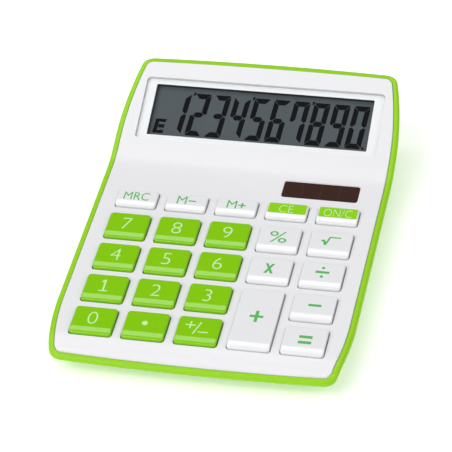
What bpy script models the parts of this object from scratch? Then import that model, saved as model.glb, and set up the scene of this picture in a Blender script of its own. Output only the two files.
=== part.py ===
"""Desk calculator: a wedge-shaped case with a raised display, 24 keys, a solar cell and a button cell.

World axes: +X right, +Y towards the display, +Z up, with the rubber feet on Z = 0.
Most pieces are drawn in the keypad frame (x, s, n), where s runs up the keypad's slope and n is
its normal, with n = 0 on the key tops.  The display pieces use the frame (x, u, w) on the slope.
"""

import math

import bmesh
import bpy
from mathutils import Matrix, Vector

MM = 0.001
GAP = 0.3 * MM
STATION_OFFSET = 0.17 * MM

# Keypad
KEY_PITCH = 18.55 * MM
ROW_PITCH = 16.32 * MM
KEYPAD_TILT = math.radians(1.5)
KEYPAD_HEIGHT = 14.0 * MM
KEY_WIDTH = 14.94 * MM
KEY_BACK = 5.2 * MM
KEY_FOLD = 4.69 * MM
KEY_FRONT = 7.44 * MM
KEY_DROP = 0.85 * MM
KEY_CORNER = 1.0 * MM
KEY_SKIRT = 3.25 * MM
KEY_FLANGE = 0.5 * MM
FLANGE_BOTTOM = 4.1 * MM
STUB_BOTTOM = 4.9 * MM
STUB_RADIUS = 2.2 * MM
MEMORY_ROW_BACK = 17.95 * MM
MEMORY_ROW_FOLD = 12.3 * MM
MEMORY_ROW_FRONT = 9.58 * MM

# Outline of the cover, seen along the keypad's normal
HALF_WIDTH = 51.05 * MM
FRONT_EDGE = -63.5 * MM
BACK_EDGE = 77.35 * MM
FRONT_BOW = 1.05 * MM
BACK_BOW = 0.6 * MM
BACK_RIM_GROWTH = 1.3
BACK_RIM_BOW = 0.22
FRONT_BEND_START = -39.0 * MM
FRONT_BEND = 4.99
BACK_BEND_START = 44.5 * MM
BACK_BEND = 3.91
CORNER_RADIUS = 3.0 * MM
SMALLEST_CORNER = 1.2 * MM

# Side profile: the line where the cover meets the case's rim
RIM_LEVEL = -1.55 * MM
VALLEY = 36.05 * MM
VALLEY_BLEND = 3.0 * MM
DISPLAY_RISE = math.radians(19.0)
NOSE_START = -55.0 * MM
NOSE_DROP = 2.2 * MM
NOSE_POWER = 2.6

# Walls
COVER_CROWN = 0.25 * MM
COVER_INSET = 0.15 * MM
COVER_WALL = 1.5 * MM
COVER_DEPTH = 1.9 * MM
KEYPAD_PLATE = 1.65 * MM
DISPLAY_PLATE = 2.4 * MM
RIM_WIDTH = 1.95 * MM
RIM_BULGE = 2.1 * MM
CASE_BOTTOM = 1.0 * MM
FLOOR_TOP = 2.6 * MM

# Display stack, in the display frame
LENS_HALF = 45.25 * MM
LENS_LOW = 2.7 * MM
LENS_HIGH = 29.2 * MM
LENS_THICK = 1.1 * MM
WINDOW_LEDGE = 1.5 * MM
GLASS_HALF = 42.9 * MM
FRONT_GLASS = (2.6 * MM, 27.9 * MM)
REAR_GLASS = (0.6 * MM, 27.9 * MM)
GLASS_THICK = 0.7 * MM
REFLECTOR_THICK = 0.25 * MM
FRAME_WIDTH = 1.2 * MM
FRAME_SIDE = 0.8 * MM
RIBBON_HALF = 20.0 * MM

# Solar cell
SOLAR_CENTRE = (28.48 * MM, 26.9 * MM)
SOLAR_SIZE = (27.4 * MM, 8.1 * MM)
SOLAR_THICK = 0.7 * MM
SOLAR_LEDGE = 1.0 * MM

# Keypad rubber and circuit board
RUBBER_TOP = -6.8 * MM
RUBBER_THICK = 0.6 * MM
DOME_HEIGHT = 1.6 * MM
DOME_FOOT = 3.4 * MM
DOME_TOP_RADIUS = 2.0 * MM
DOME_WALL = 0.5 * MM
SHEET_BACK = 20.5 * MM
RIB_PLACES = (-35.0 * MM, -18.0 * MM, 20.0 * MM)
RIB_HALF = (38.0 * MM, 0.6 * MM)
BOARD_TOP = -7.7 * MM
BOARD_THICK = 1.2 * MM
BOARD_HALF = 44.4 * MM
BOARD_FRONT_HALF = 41.2 * MM
BOARD_BACK_HALF = 36.0 * MM
BOARD_FRONT = -57.2 * MM
BOARD_TAPER = -42.0 * MM
BOARD_STEP = 23.0 * MM
BOARD_BACK = 34.5 * MM
CHIP_PLACE = (0.0, 8.0 * MM)
CHIP_RADIUS = 5.2 * MM
CHIP_HEIGHT = 1.2 * MM
CAPACITOR_PLACE = (-22.0 * MM, 29.0 * MM)
CAPACITOR_RADIUS = 2.0 * MM
CAPACITOR_HALF = 3.5 * MM
STAKE_RADIUS = 0.9 * MM
STAKE_HEAD = 1.5 * MM

# Fasteners and feet
SCREW_PLACES = {"left": (-40.0 * MM, 37.5 * MM), "right": (40.0 * MM, 37.5 * MM)}
SCREW_HEAD = 1.9 * MM
SCREW_SHAFT = 0.8 * MM
POST_TOP = -8.0 * MM
POST_RADII = (3.2 * MM, 2.9 * MM)
HEAD_DEPTH = 0.6 * MM
HEAD_SEAT = 2.2 * MM
BOSS_RADII = (2.2 * MM, 2.5 * MM)
HOOK_PLACES = (-24.0 * MM, 24.0 * MM)
HOOK_HALF = 4.0 * MM
HOOK_LEVELS = (1.75 * MM, 1.0 * MM)
HOOK_REACH = 0.6 * MM
POCKET_REACH = 0.95 * MM
FOOT_RADIUS = 4.0 * MM
FOOT_HEIGHT = 1.3 * MM
FOOT_RECESS = 0.6 * MM
FOOT_X = 38.2 * MM
FOOT_FRONT_Y = -57.0 * MM
FOOT_BACK_Y = 53.0 * MM

# Battery
CELL_X = -24.0 * MM
CELL_Y = 46.0 * MM
CELL_RADIUS = 5.8 * MM
CELL_BOTTOM = 3.4 * MM
CELL_HEIGHT = 3.05 * MM
HOUSING_HALF = 11.5 * MM
HOUSING_TOP = 8.3 * MM
CUP_TOP = 7.3 * MM
DOOR_HALF = 7.5 * MM
DOOR_FLANGE_HALF = 9.0 * MM
DOOR_FLANGE_LOW = 2.0 * MM
DOOR_TOP = 2.8 * MM
DOOR_FRONT_Y = CELL_Y - 9.0 * MM
DOOR_BACK_Y = 63.05 * MM
CONTACT_HALF = (1.4 * MM, 1.9 * MM)
CONTACT_THICK = (0.25 * MM, 0.3 * MM)
SLOT_MARGIN = 0.4 * MM

# Wires
WIRE_RADIUS = 0.4 * MM
WIRE_PADS = (-31.0 * MM, -35.0 * MM)

FAR = 200 * MM


# ---------------------------------------------------------------- frames and profiles

def middle_y():
    """The shift along Y that puts the middle of the whole case on Y = 0."""
    front = FRONT_EDGE - FRONT_BOW - RIM_BULGE
    back = BACK_EDGE + BACK_BOW + RIM_BULGE * (BACK_RIM_GROWTH + BACK_RIM_BOW)
    lean = math.sin(KEYPAD_TILT) * (rim_height(FRONT_EDGE) + rim_height(BACK_EDGE))
    return -(math.cos(KEYPAD_TILT) * (front + back) - lean) / 2


def rim_height(s):
    """Height n of the rim at s: flat keypad, rounded valley, straight display slope, rounded nose."""
    s = min(max(s, FRONT_EDGE), BACK_EDGE)
    past = s - VALLEY
    rise = math.tan(DISPLAY_RISE) * 0.5 * (past + math.hypot(past, VALLEY_BLEND))
    nose = max(0.0, (NOSE_START - s) / (NOSE_START - FRONT_EDGE))
    return RIM_LEVEL + rise - NOSE_DROP * nose ** NOSE_POWER


def cover_height(s):
    return rim_height(s) + COVER_CROWN


SHIFT_Y = middle_y()
KEYPAD_FRAME = Matrix.Translation((0, SHIFT_Y, KEYPAD_HEIGHT)) @ Matrix.Rotation(KEYPAD_TILT, 4, "X")
DISPLAY_START = (
    42.76 * MM,
    RIM_LEVEL + COVER_CROWN + math.tan(DISPLAY_RISE) * (42.76 * MM - VALLEY),
)
DISPLAY_FRAME = (
    KEYPAD_FRAME
    @ Matrix.Translation((0, DISPLAY_START[0], DISPLAY_START[1]))
    @ Matrix.Rotation(DISPLAY_RISE, 4, "X")
)
WORLD = Matrix.Identity(4)


def n_at_world_z(s, z):
    return (z - KEYPAD_HEIGHT - s * math.sin(KEYPAD_TILT)) / math.cos(KEYPAD_TILT)


def half_width(s):
    """Half the cover's width at s: straight sides that bend gently inwards at both ends."""
    front = max(0.0, FRONT_BEND_START - s)
    back = max(0.0, s - BACK_BEND_START)
    return HALF_WIDTH - FRONT_BEND * front ** 2 - BACK_BEND * back ** 2


def side_lean(s):
    """Angle of the outline's outward normal from +X at s, positive towards the back."""
    front = max(0.0, FRONT_BEND_START - s)
    back = max(0.0, s - BACK_BEND_START)
    return math.atan(2 * BACK_BEND * back - 2 * FRONT_BEND * front)


def corner(end, offset):
    """Centre and radius of the right-hand corner arc at the front (end = -1) or the back (end = 1)."""
    radius = max(CORNER_RADIUS + offset, SMALLEST_CORNER)
    growth = BACK_RIM_GROWTH if end > 0 and offset > 0 else 1.0
    edge = (BACK_EDGE if end > 0 else FRONT_EDGE) + end * offset * growth
    touch = edge - end * radius
    for _ in range(6):
        touch = edge - end * radius * (1 - math.sin(abs(side_lean(touch))))
    lean = side_lean(touch)
    x = half_width(touch) + offset * math.cos(lean) - radius * math.cos(lean)
    return Vector((x, edge - end * radius)), radius, lean, touch


def valley_stations():
    """Values of s on both sides of the valley, close together where the profile is curved."""
    return [VALLEY + step * MM for step in (-8, -4, -1.5, 1.5, 4, 8)]


def side_stations(front_touch, back_touch):
    """Values of s along one side, between its two corner arcs; every outline has the same number."""
    front, back = FIXED_STATIONS[0], FIXED_STATIONS[-1]
    nose = [front_touch + (front - front_touch) * i / 4 for i in (1, 2, 3)]
    rear = [(back + back_touch) / 2]
    return nose + FIXED_STATIONS + rear


FIXED_STATIONS = [-50 * MM, FRONT_BEND_START, -10 * MM, 20 * MM] + valley_stations() + [55 * MM, 66 * MM]


def outline(offset, corner_steps=3, end_steps=4):
    """Closed outline (x, s), anticlockwise from the front right, moved outwards by offset."""
    front, radius, front_lean, front_touch = corner(-1, offset)
    back, _, back_lean, back_touch = corner(1, offset)
    right = []
    for i in range(corner_steps + 1):
        angle = -math.pi / 2 + (front_lean + math.pi / 2) * i / corner_steps
        right.append(front + radius * Vector((math.cos(angle), math.sin(angle))))
    for s in side_stations(front_touch, back_touch):
        right.append(Vector((half_width(s) + offset, s)))
    for i in range(corner_steps + 1):
        angle = back_lean + (math.pi / 2 - back_lean) * i / corner_steps
        right.append(back + radius * Vector((math.cos(angle), math.sin(angle))))
    points = list(right)
    points += end_edge(right[-1], BACK_BOW + BACK_RIM_BOW * max(0.0, offset), end_steps)
    points += [Vector((-p.x, p.y)) for p in reversed(right)]
    points += [Vector((-p.x, p.y)) for p in end_edge(right[0], -FRONT_BOW, end_steps)]
    return points


def end_edge(start, bow, steps):
    """Points between the two corners of one end, bowed outwards in the middle."""
    points = []
    for i in range(1, steps):
        across = 1 - 2 * i / steps
        points.append(Vector((start.x * across, start.y + bow * (1 - across ** 2))))
    return points


# ---------------------------------------------------------------- mesh helpers

def material(name, colour, roughness, metallic=0.0, alpha=1.0):
    made = bpy.data.materials.get(name) or bpy.data.materials.new(name)
    made.use_nodes = True
    shader = made.node_tree.nodes["Principled BSDF"]
    shader.inputs["Base Color"].default_value = (*colour, 1.0)
    shader.inputs["Roughness"].default_value = roughness
    shader.inputs["Metallic"].default_value = metallic
    shader.inputs["Alpha"].default_value = alpha
    return made


def finish_mesh(name, bm, frame, finish):
    """Turns a bmesh in its own frame into a named object in world space."""
    bmesh.ops.remove_doubles(bm, verts=bm.verts, dist=1e-7)
    bmesh.ops.recalc_face_normals(bm, faces=bm.faces)
    bm.transform(frame)
    mesh = bpy.data.meshes.new(name)
    bm.to_mesh(mesh)
    bm.free()
    made = bpy.data.objects.new(name, mesh)
    bpy.context.scene.collection.objects.link(made)
    if finish is None:
        made.hide_render = True
        made.display_type = "WIRE"
    else:
        mesh.materials.append(finish)
    return made


def add_loft(bm, rings):
    """Skins rings of equal length, with a flat cap at each end."""
    rows = [[bm.verts.new(point) for point in ring] for ring in rings]
    count = len(rows[0])
    for low, high in zip(rows, rows[1:]):
        for i in range(count):
            j = (i + 1) % count
            bm.faces.new((low[i], low[j], high[j], high[i]))
    bm.faces.new(rows[0])
    bm.faces.new(list(reversed(rows[-1])))


def add_prism(bm, points, low, high):
    """Extrudes a flat outline of (x, s) along n."""
    add_loft(bm, [[Vector((x, s, n)) for x, s in points] for n in (low, high)])


def add_box(bm, low, high):
    corners = [(low[0], low[1]), (high[0], low[1]), (high[0], high[1]), (low[0], high[1])]
    add_prism(bm, corners, low[2], high[2])


def circle(centre, radius, count):
    turn = 2 * math.pi / count
    return [
        (centre[0] + radius * math.cos(turn * i), centre[1] + radius * math.sin(turn * i))
        for i in range(count)
    ]


def add_turned(bm, centre, levels, count):
    """Stacks circles: levels is a list of (radius, n)."""
    add_loft(bm, [[Vector((x, s, n)) for x, s in circle(centre, r, count)] for r, n in levels])


def chamfered(x0, x1, s0, s1, cut):
    """Rectangle with its four corners cut off."""
    return [
        (x1, s0 + cut), (x1, s1 - cut), (x1 - cut, s1), (x0 + cut, s1),
        (x0, s1 - cut), (x0, s0 + cut), (x0 + cut, s0), (x1 - cut, s0),
    ]


def add_sweep_across(bm, points, half):
    """Extrudes a closed (s, n) profile across x, from -half to +half."""
    add_loft(bm, [[Vector((x, s, n)) for s, n in points] for x in (-half, half)])


def combine(target, other, operation):
    step = target.modifiers.new(operation.lower() + "_" + other.name, "BOOLEAN")
    step.operation = operation
    step.solver = "EXACT"
    step.object = other


def smooth(made, angle=35.0):
    made.data.shade_smooth()
    made.data.set_sharp_from_angle(angle=math.radians(angle))


def build(name, draw, frame, finish):
    """Makes one object from a function that draws into a bmesh."""
    bm = bmesh.new()
    draw(bm)
    return finish_mesh(name, bm, frame, finish)


# ---------------------------------------------------------------- finishes

WHITE = material("white_abs", (0.87, 0.87, 0.88), 0.35)
GREEN = material("green_abs", (0.28, 0.60, 0.01), 0.35)
GREEN_KEY = material("green_key", (0.24, 0.60, 0.0), 0.2)
WHITE_KEY = material("white_key", (0.86, 0.86, 0.87), 0.2)
CLEAR = material("clear_acrylic", (0.95, 0.96, 0.97), 0.05, alpha=0.25)
GLASS = material("lcd_glass", (0.30, 0.32, 0.33), 0.1)
REFLECTOR = material("reflector_foil", (0.5, 0.52, 0.54), 0.3, 0.8)
BLACK = material("black_abs", (0.03, 0.03, 0.03), 0.5)
SOLAR = material("solar_glass", (0.05, 0.025, 0.018), 0.15)
FOAM = material("black_foam", (0.06, 0.06, 0.06), 0.95)
RUBBER = material("keypad_silicone", (0.7, 0.7, 0.72), 0.7)
BOARD = material("circuit_board", (0.06, 0.22, 0.10), 0.5)
EPOXY = material("black_epoxy", (0.02, 0.02, 0.02), 0.3)
FOIL = material("ribbon_film", (0.55, 0.38, 0.14), 0.4)
STEEL = material("nickel_steel", (0.65, 0.65, 0.63), 0.3, 1.0)
FOOT = material("foot_rubber", (0.05, 0.05, 0.05), 0.85)
RED_WIRE = material("red_wire", (0.6, 0.03, 0.03), 0.45)
BLACK_WIRE = material("black_wire", (0.02, 0.02, 0.02), 0.45)
BLUE_SLEEVE = material("capacitor_sleeve", (0.05, 0.09, 0.3), 0.4)


# ---------------------------------------------------------------- bottom case

def rim_ring(offset, drop):
    """Ring that follows the rim line, moved outwards by offset and down by drop."""
    return [Vector((x, s, rim_height(s) - drop)) for x, s in outline(offset)]


def level_ring(offset, z):
    """Ring at one height above the table."""
    return [Vector((x, s, n_at_world_z(s, z))) for x, s in outline(offset)]


def draw_case(bm):
    add_loft(bm, [
        level_ring(-7.6 * MM, FLOOR_TOP),
        rim_ring(-3.3 * MM, 5.0 * MM),
        rim_ring(-1.4 * MM, 2.2 * MM),
        rim_ring(0.0, 2.2 * MM),
        rim_ring(0.0, 0.0),
        rim_ring(RIM_WIDTH - 0.5 * MM, 0.0),
        rim_ring(RIM_WIDTH, 0.45 * MM),
        rim_ring(RIM_BULGE, 1.3 * MM),
        rim_ring(1.45 * MM, 2.45 * MM),
        rim_ring(-2.4 * MM, 6.0 * MM),
        level_ring(-5.6 * MM, CASE_BOTTOM + 0.9 * MM),
        level_ring(-6.5 * MM, CASE_BOTTOM),
    ])


def draw_battery_housing(bm):
    low = (CELL_X - HOUSING_HALF, CELL_Y - HOUSING_HALF, 1.4 * MM)
    high = (CELL_X + HOUSING_HALF, CELL_Y + HOUSING_HALF, HOUSING_TOP)
    add_box(bm, low, high)


def draw_battery_cup(bm):
    add_turned(bm, (CELL_X, CELL_Y), [(CELL_RADIUS + GAP, DOOR_TOP), (CELL_RADIUS + GAP, CUP_TOP)], 20)


def draw_door_slot(bm):
    """T-shaped slot, open at the back: the narrow part shows outside, the wide part holds the flange."""
    half, flange = DOOR_HALF + GAP, DOOR_FLANGE_HALF + GAP
    front, ledge = DOOR_FRONT_Y - GAP, DOOR_FLANGE_LOW - GAP
    profile = [
        (CELL_X - half, 0.0), (CELL_X + half, 0.0), (CELL_X + half, ledge), (CELL_X + flange, ledge),
        (CELL_X + flange, DOOR_TOP + GAP), (CELL_X - flange, DOOR_TOP + GAP),
        (CELL_X - flange, ledge), (CELL_X - half, ledge),
    ]
    add_loft(bm, [[Vector((x, y, z)) for x, z in profile] for y in (front, FAR)])


def draw_contact_slots(bm):
    """Slot for the negative leaf through the left wall, and one up the right side for the positive."""
    add_box(
        bm,
        (CELL_X - HOUSING_HALF - 2 * MM, CELL_Y - CONTACT_HALF[0] - SLOT_MARGIN, CUP_TOP - 0.85 * MM),
        (CELL_X - 1 * MM, CELL_Y + CONTACT_HALF[0] + SLOT_MARGIN, CUP_TOP + 0.05 * MM),
    )
    add_box(
        bm,
        (CELL_X + CELL_RADIUS - 0.4 * MM, CELL_Y - CONTACT_HALF[1] - SLOT_MARGIN, DOOR_TOP + 0.1 * MM),
        (CELL_X + CELL_RADIUS + 1.3 * MM, CELL_Y + CONTACT_HALF[1] + SLOT_MARGIN, HOUSING_TOP + 1 * MM),
    )


def floor_n(s):
    return n_at_world_z(s, CASE_BOTTOM)


def draw_screw_posts(bm):
    for x, s in SCREW_PLACES.values():
        add_turned(bm, (x, s), [(POST_RADII[0], floor_n(s) + 0.7 * MM), (POST_RADII[1], POST_TOP)], 16)


def draw_screw_holes(bm):
    for x, s in SCREW_PLACES.values():
        bottom = floor_n(s)
        add_turned(bm, (x, s), [
            (SCREW_HEAD + GAP, bottom - 2 * MM),
            (SCREW_HEAD + GAP, bottom + HEAD_SEAT),
            (SCREW_SHAFT + GAP, bottom + HEAD_SEAT),
            (SCREW_SHAFT + GAP, POST_TOP + 1 * MM),
        ], 12)


def draw_board_ribs(bm):
    """Ribs across the floor that carry the circuit board when a key is pressed."""
    for s in RIB_PLACES:
        low = n_at_world_z(s, FLOOR_TOP - 0.4 * MM)
        high = BOARD_TOP - BOARD_THICK - GAP
        add_box(bm, (-RIB_HALF[0], s - RIB_HALF[1], low), (RIB_HALF[0], s + RIB_HALF[1], high))


def draw_foot_recesses(bm):
    for x, y in foot_places().values():
        add_turned(bm, (x, y), [
            (FOOT_RADIUS + GAP, -1 * MM),
            (FOOT_RADIUS + GAP, CASE_BOTTOM + FOOT_RECESS),
        ], 16)


def end_of_cover(end, x):
    """Position s of the cover's front (-1) or back (1) outline at x, bow included."""
    centre = corner(end, 0.0)[0]
    edge, bow = (BACK_EDGE, BACK_BOW) if end > 0 else (FRONT_EDGE, -FRONT_BOW)
    return edge + bow * (1 - (x / centre.x) ** 2)


def add_hooks(bm, grow, reach):
    """Snap hooks on the cover's two ends, or their pockets in the case when grown by a gap."""
    for end in (-1, 1):
        for x in HOOK_PLACES:
            edge = end_of_cover(end, x)
            level = rim_height(edge)
            ends = sorted((edge - end * HOOK_REACH, edge + end * reach))
            low = (x - HOOK_HALF - grow, ends[0], level - HOOK_LEVELS[0] - grow)
            high = (x + HOOK_HALF + grow, ends[1], level - HOOK_LEVELS[1] + grow)
            add_box(bm, low, high)


def make_bottom_case():
    case = build("bottom_case", draw_case, KEYPAD_FRAME, GREEN)
    for name, draw, frame, operation in (
        ("battery_housing", draw_battery_housing, WORLD, "UNION"),
        ("screw_posts", draw_screw_posts, KEYPAD_FRAME, "UNION"),
        ("board_ribs", draw_board_ribs, KEYPAD_FRAME, "UNION"),
        ("battery_cup", draw_battery_cup, WORLD, "DIFFERENCE"),
        ("door_slot", draw_door_slot, WORLD, "DIFFERENCE"),
        ("contact_slots", draw_contact_slots, WORLD, "DIFFERENCE"),
        ("screw_holes", draw_screw_holes, KEYPAD_FRAME, "DIFFERENCE"),
        ("foot_recesses", draw_foot_recesses, WORLD, "DIFFERENCE"),
        ("hook_pockets", lambda bm: add_hooks(bm, GAP * 0.9, POCKET_REACH), KEYPAD_FRAME, "DIFFERENCE"),
    ):
        combine(case, build("shape_" + name, draw, frame, None), operation)
    smooth(case)
    return case


# ---------------------------------------------------------------- top cover

def profile_stations():
    """Values of s that follow the side profile: close together where it is curved."""
    nose = [FRONT_EDGE - 4 * MM, FRONT_EDGE - 0.5 * MM]
    nose += [FRONT_EDGE + (NOSE_START - FRONT_EDGE) * i / 4 for i in range(5)]
    valley = [s + STATION_OFFSET for s in valley_stations()]
    return nose + valley + [BACK_EDGE, BACK_EDGE + 4 * MM]


def draw_cover_body(bm):
    stations = profile_stations()
    top = [(s, cover_height(s)) for s in stations]
    bottom = [(s, rim_height(s) - COVER_DEPTH) for s in reversed(stations)]
    add_sweep_across(bm, top + bottom, FAR)


def plate_bottom(s):
    """Underside of the cover's plate, thicker under the display."""
    thick = DISPLAY_PLATE if s > VALLEY + 2 * MM else KEYPAD_PLATE
    return cover_height(s) - thick


def draw_cover_hollow(bm):
    stations = profile_stations()
    top = [(s, plate_bottom(s)) for s in stations]
    bottom = [(s, rim_height(s) - 12 * MM) for s in reversed(stations)]
    add_sweep_across(bm, top + bottom, FAR)


def draw_outline_prism(bm, offset):
    add_prism(bm, outline(offset), -FAR, FAR)


def draw_key_holes(bm):
    for key in KEYS.values():
        x = key["x"]
        half = KEY_WIDTH / 2 + GAP
        points = chamfered(x - half, x + half, key["front"] - GAP, key["back"] + GAP, KEY_CORNER)
        add_prism(bm, points, -6 * MM, 3 * MM)


def draw_display_recess(bm):
    low = (-LENS_HALF - GAP, LENS_LOW - GAP, -LENS_THICK - 0.05 * MM - GAP)
    high = (LENS_HALF + GAP, LENS_HIGH + GAP, 6 * MM)
    add_box(bm, low, high)


def draw_display_window(bm):
    inside = LENS_HALF - WINDOW_LEDGE
    low = (-inside, LENS_LOW + WINDOW_LEDGE, -6 * MM)
    high = (inside, LENS_HIGH - WINDOW_LEDGE, 6 * MM)
    add_box(bm, low, high)


def solar_box(grow, low, high):
    x, s = SOLAR_CENTRE
    half_x, half_s = SOLAR_SIZE[0] / 2 + grow, SOLAR_SIZE[1] / 2 + grow
    return (x - half_x, s - half_s, low), (x + half_x, s + half_s, high)


def solar_top():
    return RIM_LEVEL + COVER_CROWN - 0.05 * MM


def draw_solar_recess(bm):
    add_box(bm, *solar_box(GAP, solar_top() - SOLAR_THICK - GAP, 5 * MM))


def draw_solar_opening(bm):
    add_box(bm, *solar_box(-SOLAR_LEDGE, -6 * MM, 5 * MM))


def draw_screw_bosses(bm):
    for x, s in SCREW_PLACES.values():
        levels = [(BOSS_RADII[0], POST_TOP + GAP), (BOSS_RADII[1], plate_bottom(s) + 0.6 * MM)]
        add_turned(bm, (x, s), levels, 12)


def draw_pilot_holes(bm):
    for x, s in SCREW_PLACES.values():
        radius = SCREW_SHAFT + GAP
        add_turned(bm, (x, s), [(radius, POST_TOP - 1 * MM), (radius, plate_bottom(s) - 0.4 * MM)], 12)


def stake_places():
    """Heat-stake pins stand where the gaps between the keys cross."""
    first_gap = -(KEY_FRONT + ROW_PITCH - KEY_BACK) / 2
    between_rows = [first_gap - j * ROW_PITCH for j in range(3)]
    outer, inner = 1.5 * KEY_PITCH, 0.5 * KEY_PITCH
    return [
        (-outer, between_rows[0]), (outer, between_rows[0]),
        (-outer, between_rows[2]), (outer, between_rows[2]),
        (-inner, between_rows[1]), (inner, between_rows[1]),
    ]


def draw_stakes(bm):
    board_bottom = BOARD_TOP - BOARD_THICK
    for place in stake_places():
        add_turned(bm, place, [
            (STAKE_HEAD * 0.7, board_bottom - 0.9 * MM),
            (STAKE_HEAD, board_bottom - GAP),
            (STAKE_RADIUS, board_bottom - GAP),
            (STAKE_RADIUS, RIM_LEVEL + COVER_CROWN - KEYPAD_PLATE + 0.5 * MM),
        ], 8)


def make_top_cover():
    cover = build("top_cover", draw_cover_body, KEYPAD_FRAME, WHITE)
    shell = build(
        "shape_cover_outline", lambda bm: draw_outline_prism(bm, -COVER_INSET), KEYPAD_FRAME, None
    )
    hollow = build("shape_cover_hollow", draw_cover_hollow, KEYPAD_FRAME, None)
    inner = build(
        "shape_hollow_outline",
        lambda bm: draw_outline_prism(bm, -COVER_INSET - COVER_WALL),
        KEYPAD_FRAME,
        None,
    )
    combine(hollow, inner, "INTERSECT")
    combine(cover, shell, "INTERSECT")
    combine(cover, hollow, "DIFFERENCE")
    for name, draw, frame, operation in (
        ("screw_bosses", draw_screw_bosses, KEYPAD_FRAME, "UNION"),
        ("stakes", draw_stakes, KEYPAD_FRAME, "UNION"),
        ("hooks", lambda bm: add_hooks(bm, 0.0, HOOK_REACH), KEYPAD_FRAME, "UNION"),
        ("key_holes", draw_key_holes, KEYPAD_FRAME, "DIFFERENCE"),
        ("display_recess", draw_display_recess, DISPLAY_FRAME, "DIFFERENCE"),
        ("display_window", draw_display_window, DISPLAY_FRAME, "DIFFERENCE"),
        ("solar_recess", draw_solar_recess, KEYPAD_FRAME, "DIFFERENCE"),
        ("solar_opening", draw_solar_opening, KEYPAD_FRAME, "DIFFERENCE"),
        ("pilot_holes", draw_pilot_holes, KEYPAD_FRAME, "DIFFERENCE"),
    ):
        combine(cover, build("shape_" + name, draw, frame, None), operation)
    smooth(cover)
    return cover


# ---------------------------------------------------------------- keys

def key_table():
    """Every key's name with its place: x of its centre, and s of its front, fold and back lines."""
    rows = (
        ("key_memory_recall", "key_memory_minus", "key_memory_plus", "key_clear_entry", "key_on_clear"),
        ("key_7", "key_8", "key_9", "key_percent", "key_root"),
        ("key_4", "key_5", "key_6", "key_multiply", "key_divide"),
        ("key_1", "key_2", "key_3", "key_plus", "key_minus"),
        ("key_0", "key_point", "key_sign", None, "key_equals"),
    )
    table = {}
    for j, row in enumerate(rows):
        for i, name in enumerate(row):
            if name is None:
                continue
            place = {"x": (i - 2) * KEY_PITCH, "green": j > 0 and i < 3}
            if j == 0:
                place |= {"back": MEMORY_ROW_BACK, "fold": MEMORY_ROW_FOLD, "front": MEMORY_ROW_FRONT}
            else:
                s = -(j - 1) * ROW_PITCH
                last = s - ROW_PITCH if name == "key_plus" else s
                place |= {"back": s + KEY_BACK, "fold": last - KEY_FOLD, "front": last - KEY_FRONT}
            table[name] = place
    return table


KEYS = key_table()


def key_ring(key, grow, height):
    """Ten points round the key, with one on each side of the fold; height gives n from s."""
    half = KEY_WIDTH / 2 + grow
    x0, x1 = key["x"] - half, key["x"] + half
    points = chamfered(x0, x1, key["front"] - grow, key["back"] + grow, KEY_CORNER)
    points.insert(1, (x1, key["fold"]))
    points.insert(6, (x0, key["fold"]))
    return [Vector((x, s, height(s))) for x, s in points]


def draw_key(bm, key):
    slope = KEY_DROP / (key["fold"] - key["front"])
    top = key_ring(key, 0.0, lambda s: -slope * max(0.0, key["fold"] - s))
    middle = (key["front"] + key["back"]) / 2
    angles = [math.atan2(p.y - middle, p.x - key["x"]) for p in top]
    stub = [
        Vector((key["x"] + STUB_RADIUS * math.cos(a), middle + STUB_RADIUS * math.sin(a), 0))
        for a in angles
    ]
    rings = [
        top,
        key_ring(key, 0.0, lambda s: -KEY_SKIRT),
        key_ring(key, KEY_FLANGE, lambda s: -KEY_SKIRT),
        key_ring(key, KEY_FLANGE, lambda s: -FLANGE_BOTTOM),
        [Vector((p.x, p.y, -FLANGE_BOTTOM)) for p in stub],
        [Vector((p.x, p.y, -STUB_BOTTOM)) for p in stub],
    ]
    rows = [[bm.verts.new(point) for point in ring] for ring in rings]
    for low, high in zip(rows, rows[1:]):
        for i in range(len(low)):
            j = (i + 1) % len(low)
            bm.faces.new((low[i], low[j], high[j], high[i]))
    bm.faces.new(rows[0][1:7])
    bm.faces.new(rows[0][6:] + rows[0][:2])
    bm.faces.new(rows[-1])


def make_keys():
    for name, key in KEYS.items():
        finish = GREEN_KEY if key["green"] else WHITE_KEY
        build(name, lambda bm, key=key: draw_key(bm, key), KEYPAD_FRAME, finish)


# ---------------------------------------------------------------- display

def make_display():
    lens_top = -0.05 * MM
    lens_bottom = lens_top - LENS_THICK
    build(
        "display_lens",
        lambda bm: add_box(bm, (-LENS_HALF, LENS_LOW, lens_bottom), (LENS_HALF, LENS_HIGH, lens_top)),
        DISPLAY_FRAME,
        CLEAR,
    )
    level = -DISPLAY_PLATE - GAP
    for name, (low, high), thick, finish in (
        ("lcd_front_glass", FRONT_GLASS, GLASS_THICK, GLASS),
        ("lcd_rear_glass", REAR_GLASS, GLASS_THICK, GLASS),
        ("lcd_reflector", FRONT_GLASS, REFLECTOR_THICK, REFLECTOR),
    ):
        ends = (-GLASS_HALF, low, level - thick), (GLASS_HALF, high, level)
        build(name, lambda bm, ends=ends: add_box(bm, *ends), DISPLAY_FRAME, finish)
        level -= thick + GAP
    make_lcd_frame(level)
    make_lcd_ribbon()


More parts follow.
